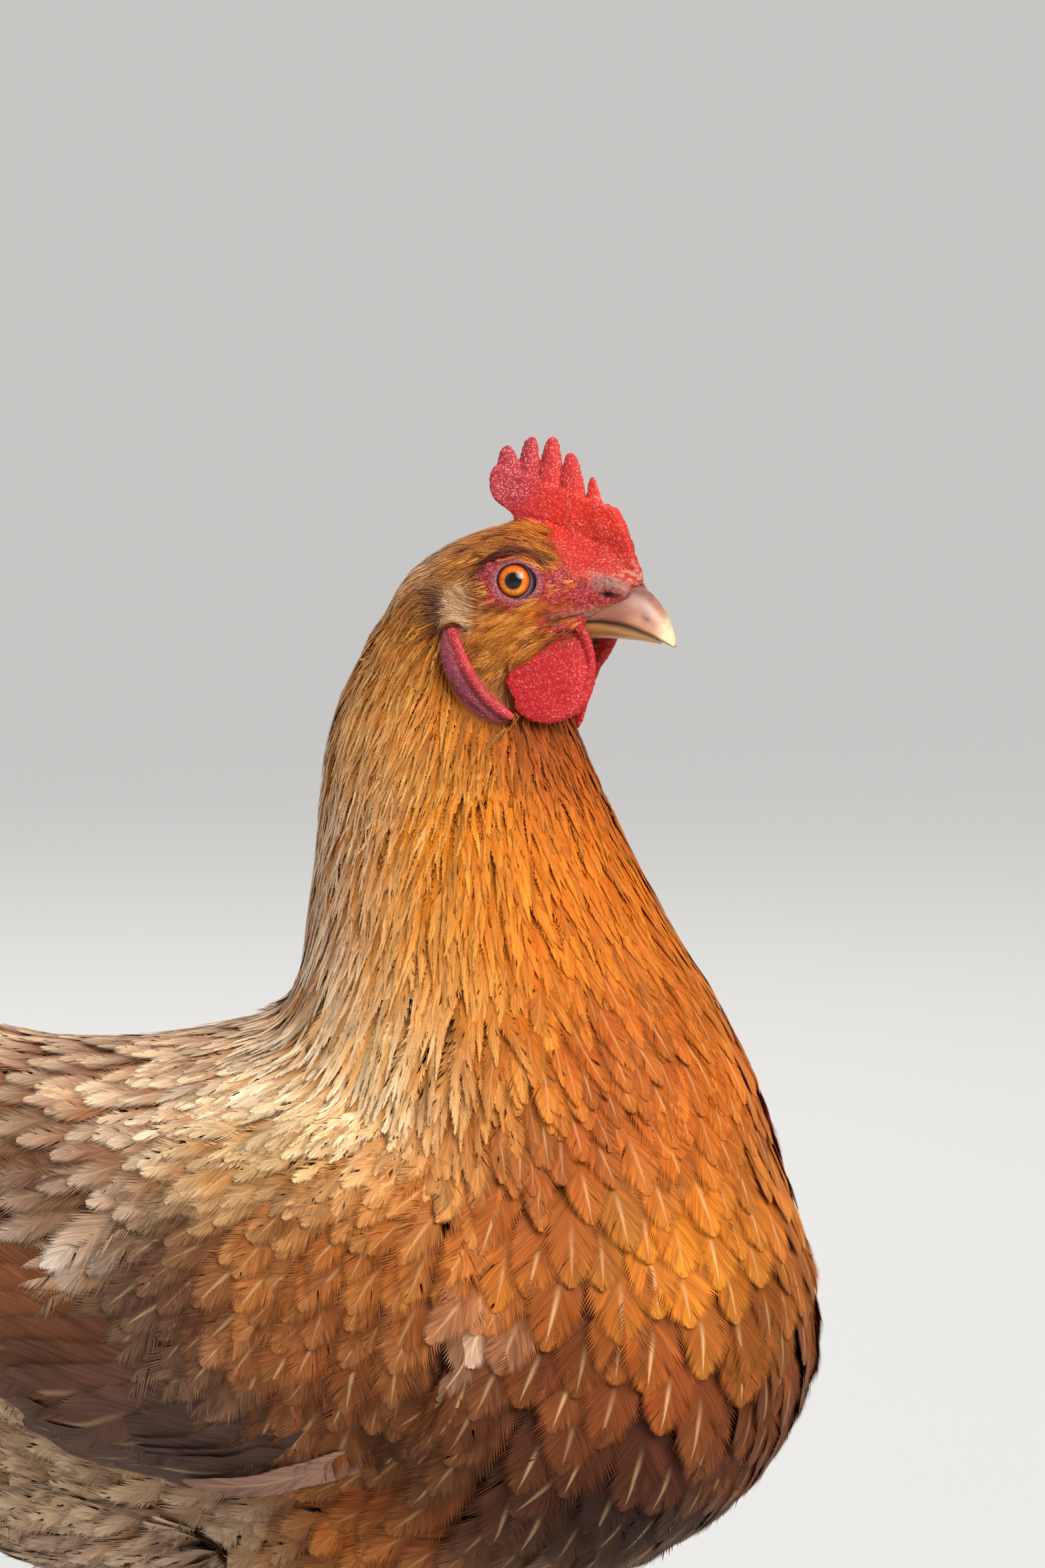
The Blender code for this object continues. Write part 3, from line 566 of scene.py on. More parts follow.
def combFoot(hen):
    # the forehead in front of the feathers, as red and warty as the comb
    x, z = hen[:, 0], hen[:, 2]
    ahead = (x - 24.8) * 0.83 + (z - 386.6) * 0.558
    return smoothStep(-0.8, 0.8, ahead) * smoothStep(24, 28, x) * smoothStep(370, 373, z - 0.12 * (40 - x))


def wattleCover(hen):
    # the feathers of the cheek hang over the upper rear corner of the wattle
    x, z = hen[:, 0], hen[:, 2]
    return smoothStep(0, 1.6, z - 345.2 - 0.71 * (x - 18)) * (1 - smoothStep(31, 33, x)) * (x > 12)


def bareShare(points):
    hen = toHen(points)
    share = faceBare(hen)
    near = np.flatnonzero((hen[:, 2] > 326) & (hen[:, 0] > -14))
    for nodes, cover in ((["comb", *lobeNodes], 0), (wattleNodes, wattleCover(hen[near]))):
        shown = smoothStep(0, 0.6, nearness([bareTrees[node] for node in nodes], points[near], 1.6))
        share[near] = np.maximum(share[near], shown * (1 - cover))
    low = np.flatnonzero(hen[:, 2] < 92)
    scaly = nearness([bareTrees[node] for node in legNodes], points[low], 1.5)
    share[low] = np.maximum(share[low], smoothStep(0, 0.5, scaly))
    return share


def thinned(mesh, share, ratio):
    # fewer faces where the share is 1, none lost where it is 0
    obj = addPiece("thin", mesh)
    covered = obj.vertex_groups.new(name="covered")
    covered.add(np.flatnonzero(share > 0.5).tolist(), 1, "REPLACE")
    fewer = obj.modifiers.new("fewer", "DECIMATE")
    fewer.ratio = ratio
    if share.min() < 0.5:
        fewer.vertex_group = "covered"
    return applied(obj)


def skinShape():
    joint, dive = skinSettings["neckJoin"], skinSettings["dive"]
    extras = headExtras + combShapes()
    headMesh = gathered(["head", "neck", "wattle_left", "wattle_right"], skinSettings["swell"], extras)
    headMesh = remeshed(cutOff(headMesh, (0, 0, 308), (0, 0, -1)), skinSettings["headVoxel"], 3)
    points = pointsOf(headMesh)
    hanging = smoothStep(0.05, 0.6, nearness([bareTrees["wattle_left"], bareTrees["rim_left"]], points, 2.0))
    setPoints(headMesh, wattleDrawn(points, hanging))
    headMesh = thinned(headMesh, (bareShare(pointsOf(headMesh)) < 0.01).astype(float), 0.62)
    sunk(headMesh, lambda hen: dive * (1 - smoothStep(joint - 6, joint + 1, hen[:, 2])), 309.5)
    print("head shape", len(headMesh.vertices))
    fluff = lump(*skinSettings["fluff"])
    bodyMesh = remeshed(gathered(bodyNodes, skinSettings["swell"] * 2, [fluff]), skinSettings["bodyVoxel"], 4)
    sunk(bodyMesh, lambda hen: dive * smoothStep(joint - 1, joint + 8, hen[:, 2]))
    print("body shape", len(bodyMesh.vertices))
    legMesh = remeshed(gathered(legNodes, skinSettings["swell"]), skinSettings["legVoxel"], 2)
    print("leg shape", len(legMesh.vertices))
    whole = addPiece("skin", bodyMesh)
    others = [addPiece("headShape", headMesh), addPiece("legShape", legMesh)]
    for other in others:
        union = whole.modifiers.new("union", "BOOLEAN")
        union.operation, union.solver, union.object = "UNION", "MANIFOLD", other
    mesh = applied(whole)
    for other in others:
        bpy.data.objects.remove(other)
    return mesh


skinMesh = skinShape()
print("skin shape", len(skinMesh.vertices), len(skinMesh.polygons))

# a lighter copy of the skin before its details, which the plumage follows
lieMesh = thinned(skinMesh.copy(), np.ones(len(skinMesh.vertices)), 0.16)
liePoints, lieNormals, lieFaces = pointsOf(lieMesh), normalsOf(lieMesh), trianglesOf(lieMesh)
lieNormals = unit(smoothed(lieNormals, lieFaces, len(liePoints), 3))
lieTree = BVHTree.FromPolygons(liePoints.tolist(), lieFaces.tolist())


def onSkin(points):
    # nearest places on the skin, and the smooth normal there
    spots, faces = np.empty((len(points), 3)), np.empty(len(points), int)
    for i, point in enumerate(points):
        spot, _, face, _ = lieTree.find_nearest(point)
        spots[i], faces[i] = spot, face
    corners = liePoints[lieFaces[faces]]
    a, b = corners[:, 1] - corners[:, 0], corners[:, 2] - corners[:, 0]
    c = spots - corners[:, 0]
    aa, ab, bb, ca, cb = (a * a).sum(1), (a * b).sum(1), (b * b).sum(1), (c * a).sum(1), (c * b).sum(1)
    area = np.maximum(aa * bb - ab * ab, 1e-18)
    v, w = (bb * ca - ab * cb) / area, (aa * cb - ab * ca) / area
    shares = np.clip(np.stack([1 - v - w, v, w], 1), 0, 1)
    return spots, unit((lieNormals[lieFaces[faces]] * shares[:, :, None]).sum(1)), faces


# ---- folds, warts and scales of the skin, and its colours
skinTones = {
    "comb": linear("ec341c"), "combDusk": linear("b03c4c"), "combCrustAndHighlight": linear("c4a08c"), "grain": linear("e88c84"),
    "face": linear("b42422"), "facePale": linear("d0605a"), "faceDusk": linear("742838"), "gapeFold": linear("b82c34"),
    "wattle": linear("c4161c"), "wattlePale": linear("dc5058"), "lobeFront": linear("cc343c"),
    "lobeRear": linear("94404e"), "lid": linear("9c565a"), "lidRim": linear("3a2628"), "operculum": linear("a07468"),
    "nostril": linear("2a1416"), "leg": linear("cda457"), "legPale": linear("e4c88c"), "legDark": linear("9a7838"),
    "hornBand": linear("8a5844"),
}


def stripDistance(hen, line):
    # distance to a line of places, and how far along it the nearest one is
    line = np.asarray(line, float)
    best, place = np.full(len(hen), 1e9), np.zeros(len(hen))
    for k in range(len(line) - 1):
        run = line[k + 1] - line[k]
        t = np.clip(((hen - line[k]) @ run) / (run @ run), 0, 1)
        apart = np.linalg.norm(hen - line[k] - t[:, None] * run, axis=1)
        place = np.where(apart < best, (k + t) / (len(line) - 1), place)
        best = np.minimum(best, apart)
    return best, place


def bump(distance, reach):
    return np.exp(-(distance / reach) ** 2)


def cellsAt(hen, size):
    # warts: how domed each place is, and a number that each wart has to itself
    dome, own = np.zeros(len(hen)), np.zeros(len(hen))
    for i, spot in enumerate(hen / size):
        far, at = noise.voronoi(spot)
        dome[i] = far[1] - far[0]
        own[i] = (abs(math.sin(at[0][0] * 12.9 + at[0][1] * 78.2 + at[0][2] * 37.7)) * 437.5) % 1
    return smoothStep(0.02, 0.5, dome), own


def cloudAt(hen, size):
    return noiseAt(hen / size)


detailLines = {
    "mouth": [(24, 14, 361), (31, 14, 361.6), (38, 12, 363.4)],
    "hornBand": [(30.5, 13.6, 360.9), (36, 12.3, 361.6), (41, 10.4, 362.4), (45, 9, 363.2)],
    "crest": [(38.5, 9.6, 373.2), (43, 9.2, 372.6), (47.5, 7.6, 371)],
    "nostrilLid": [(41, 8.6, 370.3), (45, 8.8, 370.4), (49, 7.6, 368.9)],
    "nostril": [(41.2, 9.4, 367.5), (44.6, 9.6, 367.4), (48, 8.6, 366.6)],
}
legSettings = {
    "shankTop": (-59, 37, 86), "shankFoot": (-30, 37, 2), "rightAhead": 9, "plate": 4.2, "toePlate": 2.9, "scale": 2.1,
}


def legSteps(hen, normals, footed):
    # how far along its plate or scale each place of the legs and toes is
    scale, step = np.zeros(len(hen)), np.zeros(len(hen))
    scale[footed], _ = cellsAt(hen[footed], legSettings["scale"])
    for side, sign in sides.items():
        mine = footed[np.sign(hen[footed, 1]) == sign]
        spots, ways = hen[mine], normals[mine]
        stance = [np.array(legSettings[key]) * [1, sign, 1] + [legSettings["rightAhead"] * (sign < 0), 0, 0]
                  for key in ("shankTop", "shankFoot")]
        _, place = stripDistance(spots, stance)
        onShank = smoothStep(4, 8, spots[:, 2])
        front = smoothStep(-0.1, 0.5, ways[:, 0])
        split = 0.22 * np.sign(ways[:, 1]) * (np.abs(ways[:, 1]) > 0.05)
        step[mine] = onShank * front * ((place * 88 / legSettings["plate"] + split) % 1)
        reach = np.linalg.norm((spots - stance[1])[:, :2], axis=1)
        for toe in toeNames:
            low, high = (toHen(np.array(corner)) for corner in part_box(f"toe_{side}_{toe}"))
            inside = np.all((spots > low - 0.6) & (spots < high + 0.6), axis=1)
            above = smoothStep(-0.1, 0.5, ways[:, 2]) * inside * (1 - onShank)
            step[mine] = np.maximum(step[mine], above * ((reach / legSettings["toePlate"]) % 1))
    return scale, step


def detailSkin(mesh):
    points, normals = pointsOf(mesh), normalsOf(mesh)
    normals = unit(smoothed(normals, trianglesOf(mesh), len(points), 2))
    hen = toHen(points)
    (x, y, z), count = hen.T, len(points)
    # under the plumage the skin takes the coat's main colour, darkened as painted shade for the gaps between feathers
    tone = coatAt(points)["main"] * 0.8
    lift = np.zeros(count)
    isHead = (z > 326) & (x > -16)

    def shareOf(nodes, reach, where=isHead, full=0.7):
        share, near = np.zeros(count), np.flatnonzero(where)
        share[near] = smoothStep(0.05, full, nearness([bareTrees[node] for node in nodes], points[near], reach))
        return share

    def lineBump(name, reach):
        # 1 along one of the lines of the head, on both sides
        line = detailLines.get(name) or headLines[name][0]
        return bump(stripDistance(folded(hen), line)[0], reach)

    def toned(values, low, high=1.0):
        # a factor for a colour, between low and high
        return (low + (high - low) * values)[:, None]

    comb = np.maximum(shareOf(["comb"], 2.2) * smoothStep(366, 369, z), combFoot(hen))
    comb = np.maximum(comb, smoothStep(388, 390, z))
    wattle = shareOf(wattleNodes, 2.0) * (1 - wattleCover(hen))
    lobe, face = shareOf(lobeNodes, 1.8), faceBare(hen)
    warty = np.flatnonzero(np.maximum.reduce([comb, wattle, lobe, face]) > 0.02)
    dome, own, cloud, fine, crease = np.zeros((5, count))
    dome[warty], own[warty] = cellsAt(hen[warty], skinSettings["papillaSize"])
    cloud[warty] = cloudAt(hen[warty], 5.5)
    fine[warty] = cloudAt(hen[warty] * [1, 1, 2.2], 1.6)
    crease[warty] = cloudAt(hen[warty] * [0.42, 0.6, 1.5] + [0, 0, 0.25], 2.1)

    # comb: dusky behind and above, creased low down in front; painted shade darkens its creases and the grooves
    # between its warts
    top, rear = smoothStep(386, 405, z), 1 - smoothStep(12, 27, x)
    lowFront = smoothStep(30, 40, x) * (1 - smoothStep(380, 389, z))
    frost = comb * np.clip(0.3 + 0.4 * top + 0.35 * rear + 0.5 * cloud + 0.25 * fine, 0.05, 1)
    dusk = np.clip(0.5 * top + 0.75 * rear + 0.25 * cloud, 0, 1)
    combTone = mixed(skinTones["comb"], skinTones["combDusk"], dusk * 0.8)
    combTone *= toned(dome, 0.86) * toned(smoothStep(22, 32, x) * (1 - smoothStep(380, 392, z)), 1, 0.7)
    crust = bump(np.hypot(x - 48.5, z - 372.5), 3.4) * smoothStep(-0.2, 0.35, fine)
    combTone = mixed(combTone, skinTones["combCrustAndHighlight"], 0.75 * crust)
    tone = mixed(tone, combTone, comb)
    # painted shade in the creases low in front
    creased = bump(crease, 0.09) * lowFront
    tone = mixed(tone, combTone * toned(creased, 1, 0.65), comb * creased)
    lift += comb * (skinSettings["papillaHeight"] * (dome - 0.5) * (1 - 0.6 * lowFront) + 0.22 * cloud)
    lift += comb * (0.25 + 0.75 * lowFront) * 0.55 * (0.35 - np.abs(crease))

    # bare face, with the folds round the eye and at the corner of the bill; painted shade darkens the grooves between
    # its warts
    apart = np.hypot((x - 18.3) * 0.94, z - 371)
    frost = np.maximum(frost, face * 0.4)
    faceTone = mixed(skinTones["face"], skinTones["facePale"], smoothStep(0.3, 0.9, dome) * own * 0.35)
    dusk = smoothStep(0.1, -0.4, fine) * 0.5 + bump(np.hypot(x - 7.5, z - 373.5), 4) * 0.9
    faceTone = mixed(faceTone, skinTones["faceDusk"], np.clip(dusk, 0, 1)) * toned(dome, 0.66)
    tone = mixed(tone, faceTone, face * (1 - comb))
    folds = np.sin((apart + 0.9 * cloud) * 2 * math.pi / 2.3)
    folds = folds * smoothStep(6.6, 8, apart) * (1 - smoothStep(12, 17, apart))
    lift += face * (1 - comb) * (0.2 * folds * smoothStep(374, 369, z) + 0.16 * (dome - 0.5) + 0.2 * fine)
    mouth, _ = stripDistance(folded(hen), detailLines["mouth"])
    lift += face * 0.2 * np.sin(mouth * 2 * math.pi / 1.7) * bump(mouth, 4.5)
    isGape = lineBump("gape", 2.0) * isHead
    tone = mixed(tone, skinTones["gapeFold"] * toned(dome, 0.75), np.clip(isGape * 1.3, 0, 1) * (1 - wattle))
    band = np.clip(1.5 * lineBump("hornBand", 1.5), 0, 1) * isHead
    tone = mixed(tone, skinTones["hornBand"] * toned(fine, 1, 1.3), band)
    frost *= 1 - lineBump("hornBand", 1.6)

    # lid over the nostril, a pale crest above it, partly crust and partly a painted highlight, and the slit under it,
    # carved in and painted dark as the shade inside it
    tone = mixed(tone, skinTones["combCrustAndHighlight"] * toned(fine, 1, 1.4), 0.35 * lineBump("crest", 0.7) * isHead)
    covered = np.clip(1.4 * lineBump("nostrilLid", 1.9), 0, 1) * isHead
    tone = mixed(tone, skinTones["operculum"] * toned(fine, 0.85, 1.15), covered)
    tone = mixed(tone, skinTones["nostril"], lineBump("nostril", 0.8) * isHead)
    lift -= 1.5 * lineBump("nostril", 0.62) * isHead

    # wattles, with painted shade in the grooves between their warts
    rows = 0.5 + 0.5 * np.sin((z - 0.25 * x + 1.6 * cloud) * 2 * math.pi / 2.4)
    frost = np.maximum(frost, wattle * (1 - comb) * np.clip(0.12 + 0.28 * rows + 0.4 * cloud, 0, 1))
    wattleTone = mixed(skinTones["wattle"], skinTones["wattlePale"], 0.12 * rows + 0.25 * lineBump("wattleRim", 1.2))
    wattleTone *= toned(dome, 0.84) * toned(cloud, 1, 1.16) * toned(smoothStep(359, 349, z), 0.75)
    tone = mixed(tone, wattleTone, wattle * (1 - comb))
    lift += wattle * (0.1 * (dome - 0.5) + 0.16 * cloud + 0.1 * fine)

    # ear lobes: a bright rolled edge in front, a groove and a dusky fold behind; the pale wart tops on the front edge
    # are painted highlights, and the groove and the gaps between warts are darkened as painted shade
    front, rear = (stripDistance(folded(hen), headLines[name][0])[0] for name in ("lobeFront", "lobeRear"))
    isRear = smoothStep(-0.2, 1.6, front - rear * 0.55)
    lobeTone = mixed(skinTones["lobeFront"], skinTones["lobeRear"], isRear)
    lobeTone = mixed(lobeTone, skinTones["facePale"], (1 - isRear) * 0.3 * smoothStep(0.4, 0.8, dome))
    lobeTone = lobeTone * toned(dome, 0.84)
    lobeTone *= (1 + 0.22 * cloud + 0.25 * fine * isRear)[:, None]
    frost = np.maximum(frost, lobe * (0.4 - 0.2 * isRear))
    tone = mixed(tone, mixed(lobeTone, skinTones["faceDusk"], 0.75 * bump(front - 2.1, 0.5)), lobe)
    lift += lobe * (0.14 * cloud - 0.3 * bump(front - 2.1, 0.6) + 0.08 * (dome - 0.5) + 0.25 * fine * isRear)

    # lids
    for side in sides:
        a, b, out = eyeView(side, hen)
        ring, _ = lidShare(side, hen, 0.4, 0.4)
        isLid = bump(ring - 1.03, 0.15) * (out > 0)
        bristle = np.sin(np.arctan2(b, a - eyeSettings["shift"]) * 44 + 2 * fine)
        lidTone = skinTones["lid"] * (0.92 + 0.2 * fine + 0.14 * bristle)[:, None]
        tone = mixed(tone, lidTone, np.clip(1.2 * isLid, 0, 1))
        tone = mixed(tone, skinTones["lidRim"], bump(ring - 0.86, 0.08) * (out > 0) * 0.85)
        lift += isLid * 0.12 * bristle

    # shanks, feet and toes: overlapping plates in front, small scales behind and below, each paler at its raised end
    # as a painted highlight and darker in the grooves between as painted shade
    legs = shareOf(legNodes, 1.6, z < 92, 0.6)
    scale, step = legSteps(hen, normals, np.flatnonzero(legs > 0.02))
    plated = np.clip(step * 8, 0, 1)
    shine = smoothStep(0.3, 1, np.where(plated > 0.5, step, scale)) * 0.5
    groove = np.where(plated > 0.5, bump(step - 1, 0.12) + bump(step, 0.1), 1 - smoothStep(0, 0.3, scale))
    legTone = mixed(skinTones["leg"], skinTones["legPale"], shine)
    tone = mixed(tone, mixed(legTone, skinTones["legDark"], np.clip(groove, 0, 1) * 0.6), legs)
    lift += legs * (plated * 0.42 * (step - 0.4) + (1 - plated) * 0.22 * (scale - 0.5))

    points = points + normals * lift[:, None] * mm
    for side in sides:  # the skin passes behind each eyeball inside its lids
        ring, out = lidShare(side, toHen(points), -0.1, -0.1)
        inside = (1 - smoothStep(0.9, 1.04, ring)) * (out > 0)
        points -= (inside * np.maximum(out - 1.0, 0))[:, None] * eyeAxes(side)[0] * mm
    setPoints(mesh, points)
    addValue(mesh, "tone", np.clip(tone, 0, 1), "FLOAT_COLOR")
    addValue(mesh, "bare", np.maximum.reduce([comb, wattle, lobe, face, isGape]))
    addValue(mesh, "dome", dome)
    addValue(mesh, "frost", frost)
    return mesh


skin = addPiece("skin", detailSkin(skinMesh))
dressed(skin, "bare_skin", "head", "neck", "trunk", *bareNodes, *lobeNodes, *legNodes, *bodyNodes[2:])
print("skin", len(skin.data.vertices))


# ---- shader pieces shared between materials
def nodeGroup(name, inputs, outputs):
    group = bpy.data.node_groups.new(name, "ShaderNodeTree")
    for label, kind, value in inputs:
        socket = group.interface.new_socket(name=label, in_out="INPUT", socket_type=kind)
        if value is not None:
            socket.default_value = value
    for label, kind in outputs:
        group.interface.new_socket(name=label, in_out="OUTPUT", socket_type=kind)
    return group, group.nodes.new("NodeGroupInput").outputs, group.nodes.new("NodeGroupOutput").inputs


def addNode(tree, kind, settings=None, **links):
    # a node with its settings, and its inputs linked or set by name or number
    node = tree.nodes.new(kind)
    for key, value in (settings or {}).items():
        setattr(node, key, value)
    for key, value in links.items():
        byPlace = key[0] == "i" and key[1:].isdigit()
        socket = node.inputs[int(key[1:]) if byPlace else key.replace("_", " ")]
        if isinstance(value, bpy.types.NodeSocket):
            tree.links.new(value, socket)
        else:
            socket.default_value = value
    return node


def math2(tree, operation, a, b=0.0, c=None):
    links = {"i0": a, "i1": b}
    if c is not None:
        links["i2"] = c
    return addNode(tree, "ShaderNodeMath", {"operation": operation}, **links).outputs[0]


def noiseNode(tree, place, scale, detail, roughness=0.5, output="Fac"):
    made = addNode(tree, "ShaderNodeTexNoise", Vector=place, Scale=scale, Detail=detail, Roughness=roughness)
    return made.outputs[output]


def vectorMath(tree, operation, **links):
    return addNode(tree, "ShaderNodeVectorMath", {"operation": operation}, **links).outputs[0]


def bumped(tree, strength, distance, height, **links):
    return addNode(tree, "ShaderNodeBump", Strength=strength, Distance=distance, Height=height, **links).outputs[0]


def ramped(tree, value, low, high, toLow=0.0, toHigh=1.0):
    node = addNode(tree, "ShaderNodeMapRange", {"interpolation_type": "SMOOTHSTEP"}, Value=value)
    for key, number in (("From Min", low), ("From Max", high), ("To Min", toLow), ("To Max", toHigh)):
        node.inputs[key].default_value = number
    return node.outputs[0]


def mixColour(tree, share, a, b, blend="MIX"):
    node = addNode(tree, "ShaderNodeMix", {"data_type": "RGBA", "blend_type": blend, "clamp_factor": True})
    for socket, value in ((node.inputs[0], share), (node.inputs[6], a), (node.inputs[7], b)):
        if isinstance(value, bpy.types.NodeSocket):
            tree.links.new(value, socket)
        else:
            socket.default_value = value
    return node.outputs[2]


def grainGroup():
    # mottles a colour and raises a fine relief, for skin, scales and horn
    inputs = [("Colour", "NodeSocketColor", None), ("Size", "NodeSocketFloat", 1500.0),
              ("Mottle", "NodeSocketFloat", 0.2), ("Relief", "NodeSocketFloat", 0.3),
              ("Stretch", "NodeSocketVector", (1, 1, 1))]
    outputs = [("Colour", "NodeSocketColor"), ("Mask", "NodeSocketFloat"), ("Normal", "NodeSocketVector")]
    group, given, out = nodeGroup("fineGrain", inputs, outputs)
    place = addNode(group, "ShaderNodeTexCoord").outputs["Object"]
    place = vectorMath(group, "MULTIPLY", i0=place, i1=given["Stretch"])
    coarse, fine = noiseNode(group, place, 260.0, 3.0, 0.6), noiseNode(group, place, given["Size"], 4.0, 0.65)
    both = math2(group, "ADD", math2(group, "MULTIPLY", coarse, 0.45), math2(group, "MULTIPLY", fine, 0.55))
    share = math2(group, "MULTIPLY", given["Mottle"], 4.0)
    shade = math2(group, "MULTIPLY_ADD", math2(group, "SUBTRACT", both, 0.5), share, 1.0)
    group.links.new(vectorMath(group, "SCALE", i0=given["Colour"], Scale=shade), out["Colour"])
    group.links.new(both, out["Mask"])
    group.links.new(bumped(group, given["Relief"], 0.0003, both), out["Normal"])
    return group


def papillaGroup():
    # crowded warts with pale tops, finer than the mesh
    inputs = [("Colour", "NodeSocketColor", None), ("Frost", "NodeSocketFloat", 0.0)]
    group, given, out = nodeGroup("papillae", inputs, [("Colour", "NodeSocketColor"), ("Dome", "NodeSocketFloat")])
    place = addNode(group, "ShaderNodeTexCoord").outputs["Object"]
    stray = vectorMath(group, "SCALE", i0=noiseNode(group, place, 620.0, 2.0, output="Color"), Scale=0.0011)
    place = vectorMath(group, "ADD", i0=place, i1=stray)
    cells = [addNode(group, "ShaderNodeTexVoronoi", Vector=place, Scale=scale) for scale in (1500.0, 2900.0)]
    domes = [ramped(group, cell.outputs["Distance"], 0.12, 0.62, 1.0, 0.0) for cell in cells]
    dome = math2(group, "ADD", math2(group, "MULTIPLY", domes[0], 0.7), math2(group, "MULTIPLY", domes[1], 0.3))
    frosted = math2(group, "MULTIPLY", ramped(group, dome, 0.2, 0.8), given["Frost"])
    patches = ramped(group, noiseNode(group, place, 330.0, 3.0), 0.3, 0.65, 0.45, 1.1)
    share = math2(group, "MULTIPLY", frosted, patches)
    # painted shade and light: darker in the grooves between the warts, a little lighter on their tops
    shaded = vectorMath(group, "SCALE", i0=given["Colour"], Scale=ramped(group, dome, 0.1, 0.8, 0.78, 1.06))
    group.links.new(mixColour(group, share, shaded, (*skinTones["grain"], 1)), out["Colour"])
    group.links.new(dome, out["Dome"])
    return group


fineGrain = grainGroup()
papillae = papillaGroup()


def newMaterial(name, settings):
    made = bpy.data.materials.new(name)
    made.use_nodes = True
    shader = made.node_tree.nodes["Principled BSDF"]
    for key, value in settings.items():
        shader.inputs[key].default_value = value
    return made, made.node_tree, shader


def attribute(tree, name, output="Fac"):
    return addNode(tree, "ShaderNodeAttribute", {"attribute_name": name}).outputs[output]


def grained(name, settings, size, mottle, relief, stretch=(1, 1, 1)):
    # a material with the shared grain over the painted colour
    made, tree, shader = newMaterial(name, settings)
    colour = attribute(tree, "tone", "Color")
    grain = addNode(tree, "ShaderNodeGroup", {"node_tree": fineGrain}, Colour=colour, Size=size, Mottle=mottle,
                    Relief=relief, Stretch=stretch)
    tree.links.new(grain.outputs["Colour"], shader.inputs["Base Color"])
    tree.links.new(grain.outputs["Normal"], shader.inputs["Normal"])
    return made, tree, shader, grain


skinMaterial, tree, shader, grain = grained(
    "bareSkin", {"Subsurface Weight": 0.12, "Subsurface Radius": (0.9, 0.3, 0.2), "Subsurface Scale": 0.0012,
                 "Specular IOR Level": 0.26}, 1900.0, 0.16, 0.35)
warts = addNode(tree, "ShaderNodeGroup", {"node_tree": papillae}, Colour=grain.outputs["Colour"],
                Frost=attribute(tree, "frost"))
bareTone = mixColour(tree, attribute(tree, "bare"), grain.outputs["Colour"], warts.outputs["Colour"])
tree.links.new(bareTone, shader.inputs["Base Color"])
raised = math2(tree, "MULTIPLY", warts.outputs["Dome"], attribute(tree, "bare"))
tree.links.new(bumped(tree, 0.5, 0.00025, raised, Normal=grain.outputs["Normal"]), shader.inputs["Normal"])
tree.links.new(ramped(tree, attribute(tree, "dome"), 0.0, 1.0, 0.64, 0.48), shader.inputs["Roughness"])
skin.data.materials.clear()
skin.data.materials.append(skinMaterial)
skin.data.polygons.foreach_set("material_index", [0] * len(skin.data.polygons))


# ---- eyes
eyeTones = {
    "pupil": linear("050404"), "inner": linear("8a3812"), "iris": linear("d6640e"), "irisLow": linear("e48c1e"),
    "outer": linear("9a3010"), "rim": linear("1c1012"), "veil": linear("a08c9c"), "white": linear("5c4450"),
}


def makeEye(side):
    out, ahead, up = eyeAxes(side)
    rings, around = eyeSettings["rings"], eyeSettings["around"]
    angles = np.concatenate([np.linspace(0, 1.05, 56), np.linspace(1.05, math.pi, rings - 55)[1:]])
    turn = np.linspace(0, 2 * math.pi, around, endpoint=False)[None, :, None]
    radius, depth = eyeSettings["ball"] * np.sin(angles), eyeSettings["ball"] * np.cos(angles)
    depth = depth + eyeSettings["bulge"] * np.clip(1 - (radius / 5.2) ** 2, 0, 1) * (angles < 1.6)
    points = radius[1:-1, None, None] * (np.cos(turn) * ahead + np.sin(turn) * up) + depth[1:-1, None, None] * out
    points = np.concatenate([points.reshape(-1, 3), depth[:1, None] * out, depth[-1:, None] * out])
    points = points + np.array(eyeSpot[side])
    mesh = closedRings(points, rings - 2, around, side == "right")

    # rings of colour, from the pupil out
    a, b, c = eyeView(side, points)
    ring, spin = np.where(c > 0, np.hypot(a, b), 9), np.arctan2(b, a)
    streak = noiseAt(np.stack([np.cos(spin) * 9, np.sin(spin) * 9, ring * 0.5], 1))
    tone = mixed(eyeTones["iris"], eyeTones["irisLow"], np.clip(smoothStep(1, -4, b) + 0.5 * streak, 0, 1))
    tone = mixed(tone, eyeTones["inner"], 1 - smoothStep(2.2, 2.75 + 0.3 * streak, ring))
    tone = mixed(tone, eyeTones["outer"], smoothStep(3.4, 4.2, ring + 0.35 * streak) * 0.85)
    tone *= (1 + 0.35 * streak)[:, None]
    tone = mixed(tone, eyeTones["pupil"], 1 - smoothStep(2.12, 2.3, ring))
    tone = mixed(tone, eyeTones["rim"], smoothStep(4.15, 4.35, ring))
    tone = mixed(tone, mixed(eyeTones["white"], eyeTones["veil"], smoothStep(0, 3, a)), smoothStep(4.42, 4.7, ring))
    addValue(mesh, "tone", np.clip(tone, 0, 1), "FLOAT_COLOR")
    eye = addPiece(f"eyeball_{side}", mesh)
    dressed(eye, "eye", f"eye_{side}")
    return eye


eyeMaterial, *_ = grained(
    "eyeball", {"Roughness": 0.2, "Coat Weight": 0.55, "Coat Roughness": 0.02, "Specular IOR Level": 0.15},
    2600.0, 0.06, 0.0)
for side in sides:
    makeEye(side).data.materials.append(eyeMaterial)
print("eyes")


# ---- bill and claws: finer copies of the solids, with the colours of horn
hornTones = {
    "base": linear("844c3c"), "side": linear("b07a58"), "ridge": linear("6a484c"), "mark": linear("482834"),
    "tip": linear("dcc096"), "lower": linear("a06c34"), "gape": linear("3c1a14"), "lowerTip": linear("caa06c"),
    "claw": linear("b08a5a"), "clawRidge": linear("84604a"),
}


def makeHorn(name, node, mesh, colour):
    addValue(mesh, "tone", np.clip(colour(toHen(pointsOf(mesh)), normalsOf(mesh)), 0, 1), "FLOAT_COLOR")
    piece = addPiece(name, mesh)
    dressed(piece, "horn", node)
    piece.data.materials.append(hornMaterial)


